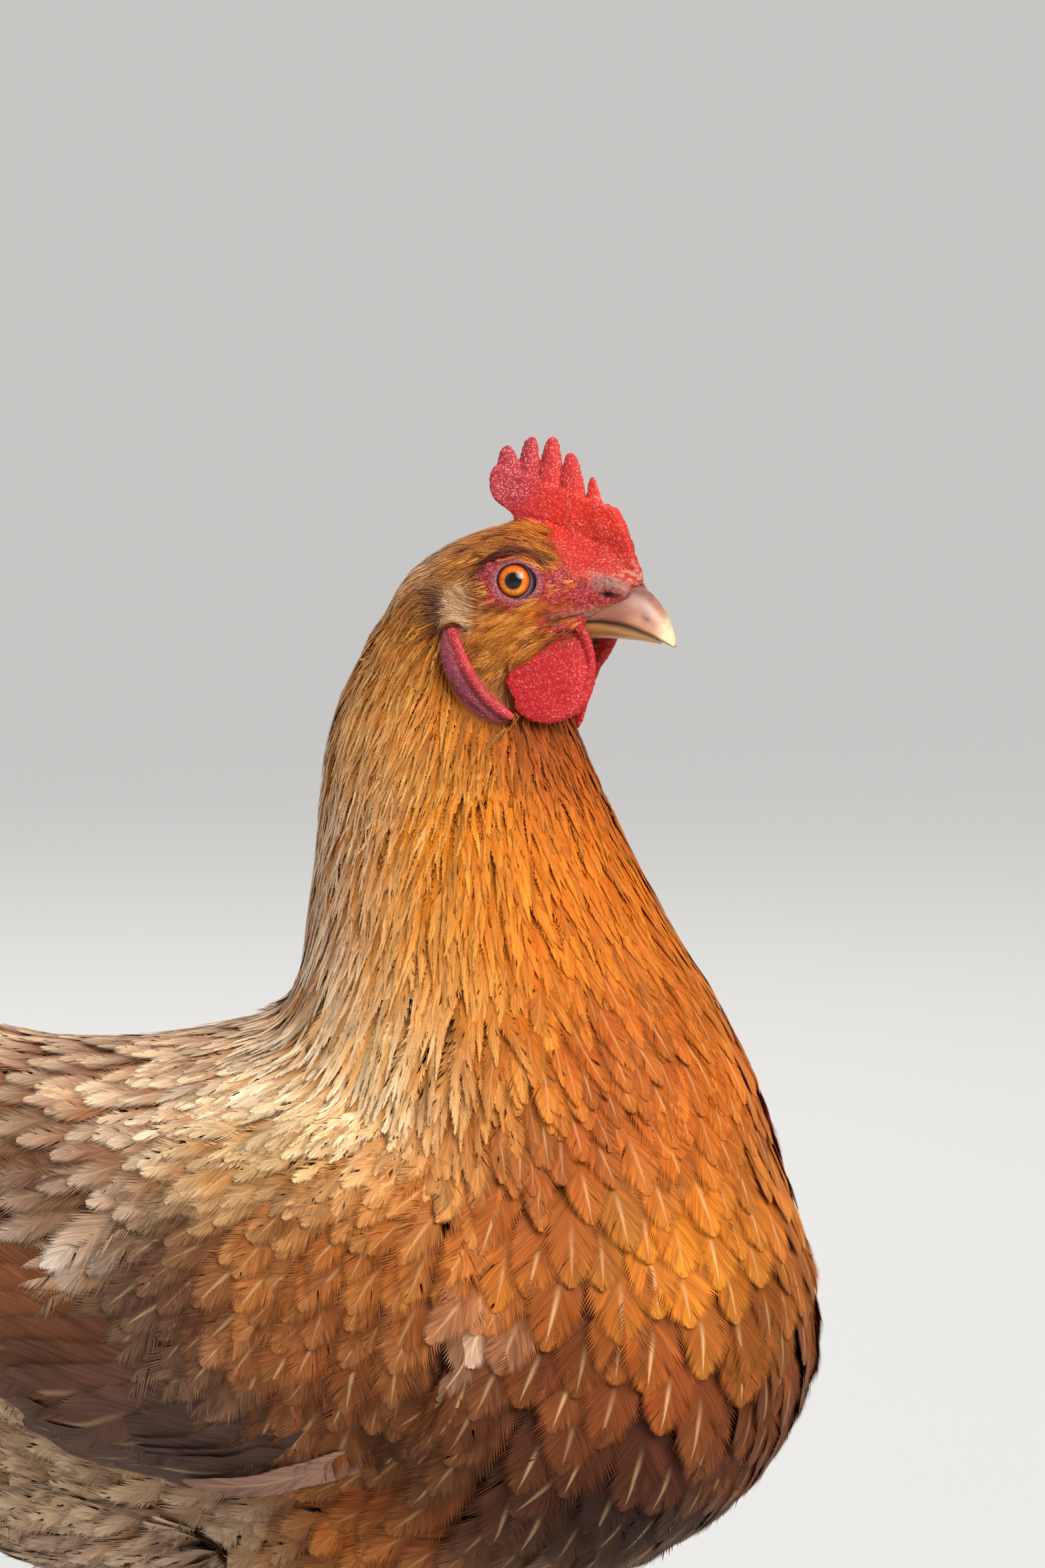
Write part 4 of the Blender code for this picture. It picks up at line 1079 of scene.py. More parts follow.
# along the bill: x, culmen, cutting edge, underside, half width
billRows = [
    (33.5, 369.4, 360.4, 355.0, 11.2), (38, 370.6, 360.2, 355.2, 10.1), (42.5, 371.0, 360.3, 355.3, 8.8),
    (48, 370.5, 359.3, 355.0, 7.1), (52, 368.6, 357.8, 354.6, 5.7), (55, 365.8, 356.3, 354.1, 4.5),
    (57.6, 362.2, 354.8, 353.9, 3.1), (59.2, 358.6, 353.8, 353.4, 1.9), (60.1, 355.6, 353.2, 353.1, 0.9),
]
billSettings = {"steps": 9, "arch": 40, "inset": 0.75, "lowerEnd": 56.2, "lip": 0.28}


def lofted(rings):
    rings = np.asarray(rings, float)
    points = np.concatenate([rings.reshape(-1, 3), rings[:1].mean(1), rings[-1:].mean(1)])
    mesh = closedRings(points, *rings.shape[:2])
    shape = bmesh.new()
    shape.from_mesh(mesh)
    bmesh.ops.recalc_face_normals(shape, faces=shape.faces)
    shape.to_mesh(mesh)
    return mesh


def billShape(upper):
    turn = np.linspace(0, math.pi, billSettings["arch"] + 1)
    back = np.linspace(1, -1, 17)[1:-1]  # the palate, from side to side
    rings = []
    for x, culmen, edge, under, half in eased(billRows, billSettings["steps"]):
        if upper:
            lip = billSettings["lip"] * np.exp(-(np.sin(turn) / 0.16) ** 2) * min(1, half / 5)
            y, z = np.cos(turn) * (half + lip), edge + np.sin(turn) ** 0.82 * (culmen - edge)
            roof = edge + 0.12 * half * (1 - back ** 2)
            rings.append([(x, a, b) for a, b in zip(np.r_[y, -back * half], np.r_[z, roof])])
        elif x < billSettings["lowerEnd"]:
            inner, top = half - billSettings["inset"], edge + 0.1
            deep = max(top - under, 0.7)
            y, z = np.cos(turn) * inner, top - np.sin(turn) ** 0.7 * deep
            rings.append([(x, a, b) for a, b in zip(np.r_[y, -back * inner], np.r_[z, np.full(15, top)])])
    return lofted(rings)


def billColour(hen, normals):
    x, _, z = hen.T
    cloud = cloudAt(hen * [0.45, 1, 1.8], 2.0)
    ridge = smoothStep(0.2, 0.75, normals[:, 2]) * (1 - smoothStep(54, 59, x))
    tone = mixed(hornTones["base"], hornTones["side"], smoothStep(46, 54, x + 2 * cloud))
    tone = mixed(tone, hornTones["ridge"], np.clip(ridge * (0.75 + 0.6 * cloud), 0, 1))
    mark = bump(np.hypot((x - 53.3 + 0.5 * (z - 362)) / 1.3, (z - 362) / 2.6), 1.0)
    tone = mixed(tone, hornTones["mark"], np.clip(mark * 0.75 * (1 + cloud), 0, 1))
    tone = mixed(tone, hornTones["tip"], smoothStep(55, 59.6, x + 0.3 * (358 - z) + 0.9 * cloud))
    # painted shade: faces that look down, under the upper bill and into the gape, are darkened
    return mixed(tone, hornTones["gape"], smoothStep(-0.3, -0.8, normals[:, 2]) * 0.8)


def lowerColour(hen, normals):
    x, _, z = hen.T
    cloud = cloudAt(hen * [0.45, 1, 1.8], 2.0)
    tone = mixed(hornTones["lower"], hornTones["lowerTip"], smoothStep(42, 55, x + 2 * cloud))
    # painted shade: the top of the lower bill, tucked under the upper one, is darkened
    return mixed(tone, hornTones["gape"], smoothStep(358.6, 360.2, z + 0.28 * (x - 42)) * 0.55)


def clawColour(hen, normals):
    tone = np.repeat(hornTones["claw"][None], len(hen), 0) * (1 + 0.3 * cloudAt(hen, 2.5))[:, None]
    return mixed(tone, hornTones["clawRidge"], smoothStep(0.4, 0.9, normals[:, 2]) * 0.5)


hornMaterial, *_ = grained(
    "horn", {"Roughness": 0.36, "Coat Weight": 0.12, "Coat Roughness": 0.25, "Specular IOR Level": 0.4,
             "Subsurface Weight": 0.1, "Subsurface Radius": (0.6, 0.35, 0.2), "Subsurface Scale": 0.0012},
    900.0, 0.1, 0.16, (0.35, 1, 1.5))
makeHorn("billUpper", "bill_upper", billShape(True), billColour)
makeHorn("billLower", "bill_lower", billShape(False), lowerColour)
for side in sides:
    for toe in toeNames:
        node = f"claw_{side}_{toe}"
        makeHorn(f"clawHorn_{side}_{toe}", node, remeshed(gathered([node], 0.1), 0.28, 3), clawColour)
print("bill and claws")


# ---- plumage: where each feather is rooted, how it lies over the skin, and its vane
coatSettings = {
    "seed": 5, "steps": 6, "rootDepth": 0.25, "cup": 7.0, "patch": 0.003, "spread": 7.0, "drift": 9.0, "tries": 9,
    "gapAt": (0.8, 1.5, 3, 5, 8), "gapShare": (0.6, 0.66, 0.7, 0.74, 1.0), "mostTriangles": 198000, "blades": 5,
    "grids": ((0, 1.2, 1.2), (1.2, 3.2, 3.2), (3.2, 99, 9.0)),  # from gap, to gap, cell
}
rng = np.random.default_rng(coatSettings["seed"])


def gapAt(points):
    gap = coatAt(points)["gap"]
    return gap * np.interp(gap, coatSettings["gapAt"], coatSettings["gapShare"])


def faceBristles(hen):
    # where a few fine feathers stand on the red skin
    return (faceBare(hen) > 0.3) & (combFoot(hen) < 0.2) & (hen[:, 0] < 38) & (hen[:, 2] > 354)


def scattered():
    # random places on the skin, no two nearer than the zone's gap
    corners = liePoints[lieFaces]
    first, second = corners[:, 1] - corners[:, 0], corners[:, 2] - corners[:, 0]
    area = np.linalg.norm(np.cross(first, second), axis=1) / 2 / mm ** 2
    middle = corners.mean(1)
    gap = gapAt(middle)
    wanted = area / gap ** 2 * ((bareShare(middle) < 0.98) | faceBristles(toHen(middle)))
    count = int(wanted.sum() * coatSettings["tries"])
    face = rng.choice(len(area), count, p=wanted / wanted.sum())
    u, v = rng.random(count), rng.random(count)
    over = u + v > 1
    u[over], v[over] = 1 - u[over], 1 - v[over]
    spots = corners[face, 0] + u[:, None] * first[face] + v[:, None] * second[face]
    gaps = gapAt(spots)
    kept = []
    for low, high, cell in coatSettings["grids"]:
        grid = {}
        for i in np.flatnonzero((gaps >= low) & (gaps < high)):
            spot, reach = spots[i] / mm, gaps[i] ** 2
            key = tuple((spot // cell).astype(int))
            near = (other for away in product((-1, 0, 1), repeat=3)
                    for other in grid.get((key[0] + away[0], key[1] + away[1], key[2] + away[2]), ()))
            if all((spot[0] - other[0]) ** 2 + (spot[1] - other[1]) ** 2 + (spot[2] - other[2]) ** 2 >= reach
                   for other in near):
                grid.setdefault(key, []).append(spot)
                kept.append(i)
    return spots[np.array(kept)]


def laid(roots, way, long, steps):
    # carries each feather over the skin: the places and normals along it
    spots, normals, _ = onSkin(roots)
    way = unit(way - normals * (way * normals).sum(1, keepdims=True))
    path, ups = [spots], [normals]
    for _ in range(steps):
        spots, newer, _ = onSkin(spots + way * (long / steps)[:, None] * mm)
        way = unit(way - newer * (way * newer).sum(1, keepdims=True))
        path.append(spots)
        ups.append(newer)
    return np.stack(path, 1), np.stack(ups, 1)


def resampled(rows, shares):
    # smooth curve through the rows of each feather, read at the shares of its length
    last = rows.shape[1] - 1
    place = np.clip(shares, 0, 1) * last
    i = np.minimum(place.astype(int), last - 1)
    return curved(*(rows[:, np.clip(i + k, 0, last)] for k in (-1, 0, 1, 2)), (place - i)[None, :, None])


def halfWidth(s, point):
    # outline of a vane as a share of its half width: point 0 is broad and rounded, 1 narrow and pointed
    s = np.clip(s, 0, 1)
    broad = np.clip(s / 0.2, 0, 1) ** 0.6 * np.sqrt(1 - np.clip((s - 0.6) / 0.4, 0, 1) ** 2.2)
    lance = np.clip(s / 0.3, 0, 1) ** 0.7 * np.clip((1 - s) / 0.64, 0, 1) ** 0.75
    return broad * (1 - point) + lance * point


def barbReach(s, half, cotangent, long, point):
    # how far out each barb goes before it meets the outline of the vane
    low, high = np.zeros_like(cotangent), np.broadcast_to(half, cotangent.shape).copy()
    for _ in range(16):
        middle = (low + high) / 2
        inside = middle < half * halfWidth(s + middle * cotangent / long, point)
        low, high = np.where(inside, middle, low), np.where(inside, high, middle)
    return low


def featherMesh(points, faces, facts, across, along, tone, shaft):
    # all the feathers of a group as one mesh, from the points and the faces of each
    n, each = points.shape[:2]
    starts = (np.arange(n) * each)[:, None, None]
    mesh = meshFrom("coat", points.reshape(-1, 3), (faces[None] + starts).reshape(-1, 3))
    addValue(mesh, "tone", np.clip(tone, 0, 1).reshape(-1, 3), "FLOAT_COLOR")
    chance, barbs = facts["chance"][:, None], facts["long"][:, None]
    values = {"across": across, "along": along, "chance": chance, "shaft": shaft, "barbs": barbs}
    for name, value in values.items():
        addValue(mesh, name, np.broadcast_to(value, (n, each)).ravel())
    place = facts["uv"][:, None] + np.stack([across * 0.5, along - 0.5], 2) * coatSettings["patch"]
    index = np.empty(len(mesh.loops), np.int32)
    mesh.loops.foreach_get("vertex_index", index)
    layer = mesh.uv_layers.new(name="OFBake")
    layer.data.foreach_set("uv", place.reshape(-1, 2)[index].astype(np.float32).ravel())
    return mesh


def vanes(path, ups, facts, rows, early=0.25):
    # a chevron of barbs each side of the shaft, with a toothed edge, and few rows where other feathers cover it
    n = len(path)
    shares = np.interp(np.linspace(0, 1, rows + 1), (0, early, 1), (0, 0.5, 1))
    spine, up = resampled(path, shares), unit(resampled(ups, shares))
    s = shares[None, :]
    rise = facts["deep"][:, None] * (0.86 * (1 - (1 - s) ** 2.3) + 0.14 * s) - coatSettings["rootDepth"] * (1 - s)
    rise = rise + facts["offset"][:, None] * s + facts["lift"][:, None] * s ** 3
    spine = spine + up * rise[:, :, None] * mm
    run = unit(np.gradient(spine, axis=1))
    up = unit(up - run * (up * run).sum(2, keepdims=True))
    side = np.cross(up, run)
    roll = facts["roll"][:, None, None]
    side, up = side * np.cos(roll) + up * np.sin(roll), up * np.cos(roll) - side * np.sin(roll)
    cotangent = 1 / np.tan(np.radians(50 - 20 * s ** 2 - 12 * facts["point"][:, None]))
    wide, fray = facts["wide"][:, None], facts["fray"][:, None]
    half = barbReach(s, wide / 2, cotangent * 1.1, facts["long"][:, None], facts["point"][:, None])

    def edge(i, hand, t):
        # places a share t out along the barbs of the rows i
        reach = half[:, i] * t
        forth = reach * cotangent[:, i] * (0.75 + 0.35 * t)
        drop = reach ** 2 / (2 * coatSettings["cup"] * wide)
        out = side[:, i] * (hand * reach)[:, :, None] + run[:, i] * forth[:, :, None] - up[:, i] * drop[:, :, None]
        return spine[:, i] + out * mm

    every, cells = np.arange(rows + 1), np.arange(rows)
    onRow, between = np.broadcast_to(s, (n, rows + 1)), np.broadcast_to((s[:, :-1] + s[:, 1:]) / 2, (n, rows))
    blank, inner = np.zeros((n, rows + 1)), np.full((n, rows + 1), 0.4)
    blocks = [(spine, blank, onRow, blank)]  # places, how far out, how far along, tint
    wobble = rng.normal(0, 1, (n, 2, rows + 1))
    for h, hand in enumerate((1, -1)):
        wave = wobble[:, h]
        notch = (rng.random((n, rows + 1)) < 0.16 * fray) * rng.uniform(0.15, 0.4, (n, rows + 1))
        outer = 0.92 - 0.32 * fray - notch + 0.03 * wave
        mid = (outer[:, 1:] + outer[:, :-1]) / 2 - 0.1 * fray * rng.random((n, rows))
        tipA = outer[:, :-1] + (1 - outer[:, :-1]) * (1 + 0.35 * fray * rng.normal(0, 1, (n, rows)))
        tipB = mid + (1 - mid) * (1 + 0.35 * fray * rng.normal(0, 1, (n, rows)))
        for t, tint in ((inner, 0.5 * wave), (outer, wave)):
            blocks.append((edge(every, hand, t), hand * t, onRow, tint))
        midWave = (wave[:, 1:] + wave[:, :-1]) / 2
        for t, far, tint in ((mid, 0.5, midWave), (tipA, 0.28, wave[:, :-1]), (tipB, 0.75, wave[:, 1:])):
            place = edge(cells, hand, t) * (1 - far) + edge(cells + 1, hand, t) * far
            blocks.append((place, hand * t, between, tint))
    points, across, along, streaks = (np.concatenate(block, 1) for block in zip(*blocks))

    faces, i = [], np.arange(rows)
    for hand in (1, -1):
        inner = rows + 1 + i + (hand < 0) * (5 * rows + 2)
        outer, mid = inner + rows + 1, inner + 2 * rows + 2
        tipA, tipB = mid + rows, mid + 2 * rows
        sheets = [(i, inner, inner + 1), (i, inner + 1, i + 1), (inner, outer, mid), (inner, mid, inner + 1),
                  (inner + 1, mid, outer + 1), (outer, tipA, mid), (mid, tipB, outer + 1)]
        faces += [np.stack([a, c, b] if hand == 1 else [a, b, c], 1) for a, b, c in sheets]

    # colour: dusky down at the base, the main colour, and the tip's colour to the end and the frayed sides
    s, t = along, np.abs(across)
    toTip = smoothStep(0.5, 1.0, s) * 0.75 + 0.4 * t ** 2 * smoothStep(0.2, 0.8, s) + facts["pale"][:, None] * 0.35
    toTip = np.clip(toTip, 0, 1)
    tone = mixed(facts["main"][:, None], facts["tip"][:, None], toTip * (0.35 + 0.65 * fray))
    tone = mixed(tone, tone * 0.75, (1 - smoothStep(0.05, 0.32, s)))
    tone = tone * (facts["shade"][:, None] * np.clip(1 + 0.13 * streaks, 0.6, 1.5))[:, :, None]
    return featherMesh(points, np.concatenate(faces), facts, across, along, tone, facts["shaft"][:, None])


def tufts(path, ups, facts):
    # short hair-like feathers: a few fine blades from each root, fanned and bent along the skin
    n, rows, blades = len(path), 3, coatSettings["blades"]
    shares = np.linspace(0, 1, rows + 1)
    spine, up = resampled(path, shares), unit(resampled(ups, shares))
    side = np.cross(up, unit(np.gradient(spine, axis=1)))
    blocks, faces = [], []
    for blade in range(blades):
        tint = np.clip(rng.normal(1, 0.24, n), 0.45, 1.5)
        swing = rng.normal(0, 1, n) * 0.5
        long = rng.uniform(0.7, 1.1, n)
        deep = facts["deep"] * rng.uniform(0.5, 1.05, n) + facts["lift"]
        root = rng.normal(0, 0.4, n) * facts["wide"] * 0.6
        for k, s in enumerate(shares):
            centre = spine[:, 0] + (spine[:, k] - spine[:, 0]) * long[:, None]
            rise = deep * (1 - (1 - s) ** 2) - 0.12 * (k < rows)
            out = root + swing * facts["long"] * 0.2 * s ** 1.3
            thin = np.maximum(facts["wide"] * 0.13, 0.075) * (1.15 - s)
            for hand in (-1, 1) if k < rows else (0,):
                place = centre + (up[:, k] * rise[:, None] + side[:, k] * (out + hand * thin)[:, None]) * mm
                blocks.append((place, np.full(n, hand * 0.5), np.full(n, s), tint))
        base = blade * (rows * 2 + 1)
        for a in range(base, base + 2 * rows - 2, 2):
            faces += [(a, a + 1, a + 3), (a, a + 3, a + 2)]
        faces.append((base + 2 * rows - 2, base + 2 * rows - 1, base + 2 * rows))
    points, across, along, tints = (np.stack(block, 1) for block in zip(*blocks))
    toTip = smoothStep(0.3, 1, along) * (0.4 + 0.6 * facts["chance"][:, None])
    tone = mixed(facts["main"][:, None], facts["tip"][:, None], toTip) * facts["shade"][:, None, None]
    tone = tone * (tints * (0.6 + 0.4 * smoothStep(0, 0.5, along)))[:, :, None]
    return featherMesh(points, np.array(faces), facts, across, along, tone, 0)


def skinUnwrap():
    # an unwrap of the skin's own shape, to place each tuft's patch
    mesh = thinned(lieMesh.copy(), np.ones(len(lieMesh.vertices)), 0.14)
    obj = addPiece("unwrap", mesh)
    bpy.context.view_layer.objects.active = obj
    obj.select_set(True)
    bpy.ops.object.mode_set(mode="EDIT")
    bpy.ops.mesh.select_all(action="SELECT")
    bpy.ops.uv.smart_project(angle_limit=math.radians(66), island_margin=0.004)
    bpy.ops.object.mode_set(mode="OBJECT")
    mesh = obj.data
    uv = np.empty(len(mesh.loops) * 2, np.float32)
    mesh.uv_layers.active.data.foreach_get("uv", uv)
    uv = uv.reshape(-1, 2)
    points, faces = pointsOf(mesh), trianglesOf(mesh)
    loops = np.empty(len(mesh.loop_triangles) * 3, np.int32)
    mesh.loop_triangles.foreach_get("loops", loops)
    corners = uv[loops.reshape(-1, 3)]
    tree = BVHTree.FromPolygons(points.tolist(), faces.tolist())
    bpy.data.objects.remove(obj)
    return points[faces], corners, tree


unwrapPoints, unwrapCorners, unwrapTree = skinUnwrap()


def rootPatch(roots):
    # the place of each root in the unwrap
    found = np.zeros((len(roots), 2))
    for i, root in enumerate(roots):
        spot, _, face, _ = unwrapTree.find_nearest(root)
        a, b, c = unwrapPoints[face]
        area = np.linalg.norm(np.cross(b - a, c - a)) + 1e-15
        spot = np.array(spot)
        v, w = (np.linalg.norm(np.cross(arm - a, spot - a)) / area for arm in (c, b))
        u = max(0, 1 - v - w)
        found[i] = (unwrapCorners[face] * np.array([u, v, w])[:, None]).sum(0) / (u + v + w)
    return np.clip(found, 0.004, 0.996)


headTones = {
    "dusk": linear("6a2a1c"), "gold": linear("eca44c"), "shadow": linear("3c1c20"),
    "underBrow": [(7, 14, 372), (9.5, 13.6, 375.2), (13, 13, 377.6), (18, 12.2, 379), (23.5, 11.2, 378.4),
                  (28, 10.4, 375.8)],
    "behindEar": [(-4, 16.5, 357.5), (-5.2, 16, 362), (-3.8, 15.5, 367.5)],
}


def factsAt(roots):
    # what the zones say of each feather, with its own small differences
    coat, n, hen = coatAt(roots), len(roots), toHen(roots)
    facts = {key: coat[key] for key in (*zoneValues, "main", "tip")}
    facts["long"] *= rng.uniform(0.88, 1.12, n)
    facts["wide"] *= rng.uniform(0.88, 1.12, n)
    thin = smoothStep(8, 5, facts["wide"]) * smoothStep(10, 18, facts["long"])
    facts["wide"] = facts["wide"] * (1 - 0.14 * thin) * (1 + 0.22 * smoothStep(10, 14, facts["wide"]))
    hem = bump(hen[:, 2] - 268 + 0.12 * hen[:, 0], 8) * (1 - smoothStep(35, 60, hen[:, 0])) * (hen[:, 0] > -60)
    facts["long"] = facts["long"] * (1 + 0.22 * thin) * (1 + 0.12 * hem)
    facts["offset"] = rng.normal(0, 0.07, n) * np.clip(facts["wide"] / 5, 0.3, 1.6)
    facts["roll"] = np.radians(rng.normal(0, 2.2, n))
    facts["chance"] = rng.random(n)
    uneven = (0.05 + 0.12 * facts["fray"]) * rng.normal(0, 1, n)
    facts["shade"] = np.clip(1 + uneven + 0.16 * noiseAt(hen / 22), 0.6, 1.45)
    facts["pale"] = np.clip(rng.normal(0.1, 0.5, n), -0.6, 1)
    facts["shaft"] *= rng.uniform(0.45, 1.15, n)
    facts["lift"] = np.clip(rng.normal(0, 0.22, n), 0, 2) * facts["fray"] * np.clip(facts["deep"] / 4, 0.1, 1.6)
    facts["point"] = np.clip(0.06 + 0.94 * smoothStep(9, 4.5, facts["wide"]), 0, 1)
    facts["offset"] += hem * (1.2 + 1.6 * rng.random(n))
    facts["way"] = unit(coat["flow"])
    facts["uv"] = rootPatch(roots)
    return facts


def painted(facts, path):
    # each feather is coloured by the zone where it shows, not where it is rooted
    seen, coat = toHen(path[:, 5]), coatAt(path[:, 5])
    # the short feathers of the head run in streaks of gold and dusk
    headed = smoothStep(335, 350, seen[:, 2]) * (facts["long"] < 13)
    streak = noiseAt(seen / [6.5, 1.7, 1.5])
    shadow = np.maximum(*(bump(stripDistance(folded(seen), headTones[name])[0], reach)
                          for name, reach in (("underBrow", 1.9), ("behindEar", 2.4))))
    for key in ("main", "tip"):
        facts[key] = mixed(coat[key], headTones["dusk"], headed * smoothStep(0.0, 0.45, -streak) * 0.75)
        facts[key] = mixed(facts[key], headTones["gold"], headed * smoothStep(0.05, 0.45, streak) * 0.6)
        facts[key] = mixed(facts[key], headTones["shadow"], 0.9 * shadow * (seen[:, 2] > 352))


def turned(way, normals, degrees):
    # swings each direction about the skin's normal
    c, s = np.cos(np.radians(degrees))[:, None], np.sin(np.radians(degrees))[:, None]
    return way * c + np.cross(normals, way) * s


def picked(facts, mask):
    return {key: value[mask] for key, value in facts.items()}


roots = scattered()
print("roots", len(roots))
bare = bareShare(roots)
hen = toHen(roots)
# no feathers under the eyeballs, on the bill or on bare skin, apart from a few bristles
clear = np.ones(len(roots), bool)
for side in sides:
    ring, out = lidShare(side, hen, 1.9, 1.9, 0)
    clear &= (ring > 1) | (out < 0)
x, _, z = hen.T
clear &= ~((x > 46) & (z > 345)) & ~((x > 37) & (z > 362) & (z < 372))
clear &= (bare < 0.35) | (faceBristles(hen) & (rng.random(len(roots)) < 0.28))
clear &= (bare < 0.05) | (z > 346) | (z < 334) | (x < 9)
roots, hen = roots[clear], hen[clear]
facts = factsAt(roots)
_, rootNormals, _ = onSkin(roots)
spread = np.where(facts["fray"] > 0.6, coatSettings["spread"], coatSettings["spread"] * 0.6)
swing = rng.normal(0, 1, len(roots)) * spread + coatSettings["drift"] * noiseAt(hen / 11)
flat = facts["way"] - rootNormals * (facts["way"] * rootNormals).sum(1, keepdims=True)
path, ups = laid(roots, turned(unit(flat), rootNormals, swing), facts["long"], coatSettings["steps"])
painted(facts, path)
reached = np.linalg.norm(path[:, -1] - path[:, 0], axis=1) / mm
straight = reached > np.where(hen[:, 2] < 106, 0.93, 0.78) * facts["long"]
hanging = [bareTrees[node] for node in ("wattle_left", "wattle_right", "wattleTip", *lobeNodes)]
for k in (2, 3, 4, 5, 6):  # nothing hangs over the wattles, the lobes or the eyes
    seen = toHen(path[:, k])
    straight &= (nearness(hanging, path[:, k], 0.5) == 0) | (bare[clear] > 0.2) | (wattleCover(seen) > 0.2)
    for side in sides:
        ring, out = lidShare(side, seen, 1.2, 0.7)
        straight &= (ring > 1) | (out < 0)
roots, hen, path, ups = (values[straight] for values in (roots, hen, path, ups))
facts = picked(facts, straight)
print("laid", len(roots))

isHair = (facts["gap"] < 1.45) | (facts["long"] < 10.5)
isFluff = (facts["fray"] > 0.84) & (facts["wide"] > 7.2) & ~isHair
isSmall = (facts["wide"] < 3.4) & ~isHair
isHackle = (facts["wide"] < 7) & ~isHair & ~isFluff & ~isSmall
isContour = ~isHair & ~isFluff & ~isSmall & ~isHackle
onSide = {"left": hen[:, 1] > 0, "right": hen[:, 1] <= 0}
plumage = []
vaned = (("Small", isSmall, 9), ("Hackle", isHackle, 14), ("Contour", isContour, 30), ("Fluff", isFluff, 15))
for kind, mask, rows in vaned:
    for side in sides:
        chosen = np.flatnonzero(mask & onSide[side])
        pieces = max(1, math.ceil(len(chosen) / (coatSettings["mostTriangles"] // (14 * rows))))
        for k, group in enumerate(np.array_split(chosen, pieces)):
            mesh = vanes(path[group], ups[group], picked(facts, group), rows)
            plumage.append(addPiece(f"coat{kind}_{side}_{k + 1}", mesh))
for side in sides:
    chosen = np.flatnonzero(isHair & onSide[side])
    plumage.append(addPiece(f"coatHead_{side}", tufts(path[chosen], ups[chosen], picked(facts, chosen))))


def plainFacts(n, main, tip, **numbers):
    # the facts of n feathers alike but for the numbers given
    facts = {key: np.broadcast_to(np.asarray(value, float), n) for key, value in numbers.items()}
    facts.update({key: np.zeros(n) for key in ("offset", "lift", "roll", "pale")})
    facts["main"], facts["tip"] = (np.broadcast_to(tone, (n, 3)) for tone in (main, tip))
    facts["chance"], facts["shade"] = rng.random(n), rng.uniform(0.9, 1.08, n)
    return facts


# the fan of stiff pale feathers that covers each ear
earSettings = {
    "count": 420, "x": (4.5, 11.5), "z": (359.5, 366), "rise": (-0.25, 0.45), "long": (5.5, 7.5), "deep": (1.9, 2.5),
    "wide": 1.0,
    "root": linear("b0642a"), "end": linear("fcdcac"),
}


def earFan(sign):
    c, n = earSettings, earSettings["count"]
    x, z = rng.uniform(*c["x"], n), rng.uniform(*c["z"], n)
    spots, _, _ = onSkin(toWorld(np.stack([x, np.full(n, sign * 18.0), z], 1)))
    way = np.stack([-np.ones(n), np.zeros(n), np.interp(z, c["z"], c["rise"]) + rng.normal(0, 0.05, n)], 1)
    long = rng.uniform(*c["long"], n) * (1 - 0.35 * ((z - 362) / 6) ** 2)
    path, ups = laid(spots, unit(way), long, coatSettings["steps"])
    deep = rng.uniform(*c["deep"], n)
    facts = plainFacts(n, c["root"], c["end"], long=long, wide=c["wide"], deep=deep)
    facts["uv"] = rootPatch(spots)
    return tufts(path, ups, facts)


for side, sign in sides.items():
    plumage.append(addPiece(f"coatEar_{side}", earFan(sign)))
kinds = {"hair": isHair, "small": isSmall, "hackle": isHackle, "contour": isContour, "fluff": isFluff}
print("feathers", {kind: int(mask.sum()) for kind, mask in kinds.items()})


# ---- flight feathers of the folded wings, and the tail
flightSettings = {
    "secondaries": 11, "firstRoot": (4, 136), "rootStep": (-7.4, 4.6), "long": (78, 100), "tilt": (-17, 6),
    "wide": 19,
    "primaries": 5, "primaryRoot": (-34, 137), "primaryStep": (-6, 2), "primaryLong": 112, "primaryTilt": (-7, 6),
    "loose": (21, 134, -15, 68), "looseWide": 11, "deep": (9.2, 10.4), "primaryDeep": (7.0, 7.8), "looseDeep": 10,
}
tailSettings = {
    "root": (-164, 234), "pairs": 7, "long": (134, 106), "rise": (52, 14), "spread": (1, 22), "lean": (38, 14),
    "wide": 30,
}
flightTones = {
    "taupe": linear("4a342c"), "taupePale": linear("74584a"), "rust": linear("6e4026"), "loose": linear("94705e"),
    "tail": linear("643822"), "tailTip": linear("946c44"),
}


def fromTo(ends, share):
    return ends[0] + (ends[1] - ends[0]) * share


def wingFlights(sign):
    # the secondaries from the front back, the primaries under them, and one loose feather in front
    c = flightSettings
    n, m = c["secondaries"], c["primaries"]
    share = np.linspace(0, 1, n)
    starts = ((c["firstRoot"], c["rootStep"], n), (c["primaryRoot"], c["primaryStep"], m), (c["loose"], (0, 0), 1))
    places = [(start[0] + step[0] * i, sign * 90, start[1] + step[1] * i)
              for start, step, count in starts for i in range(count)]
    primaryTilt = fromTo(c["primaryTilt"], np.arange(m) / (m - 1))
    tilt = np.radians(np.r_[fromTo(c["tilt"], share), primaryTilt, c["loose"][2]])
    long = np.r_[fromTo(c["long"], share), np.full(m, c["primaryLong"]), c["loose"][3]]
    deep = np.r_[fromTo(c["deep"], share), np.linspace(*c["primaryDeep"], m), c["looseDeep"]]
    wide = np.r_[np.full(n + m, c["wide"]), c["looseWide"]]
    tone = mixed(flightTones["taupe"], flightTones["rust"], smoothStep(0.25, 0.9, share))
    tone = np.concatenate([tone, [flightTones["taupe"] * 0.85] * m, [flightTones["loose"]]])
    spots, _, _ = onSkin(toWorld(places))
    path, ups = laid(spots, np.stack([-np.cos(tilt), np.zeros(len(tilt)), np.sin(tilt)], 1), long, 10)
    facts = plainFacts(len(tilt), tone, flightTones["taupePale"], long=long, wide=wide, deep=deep,
                       shaft=0.5, fray=0.12, point=0.12)
    facts["uv"] = rootPatch(spots)
    return vanes(path, ups, facts, 44, 0.5)


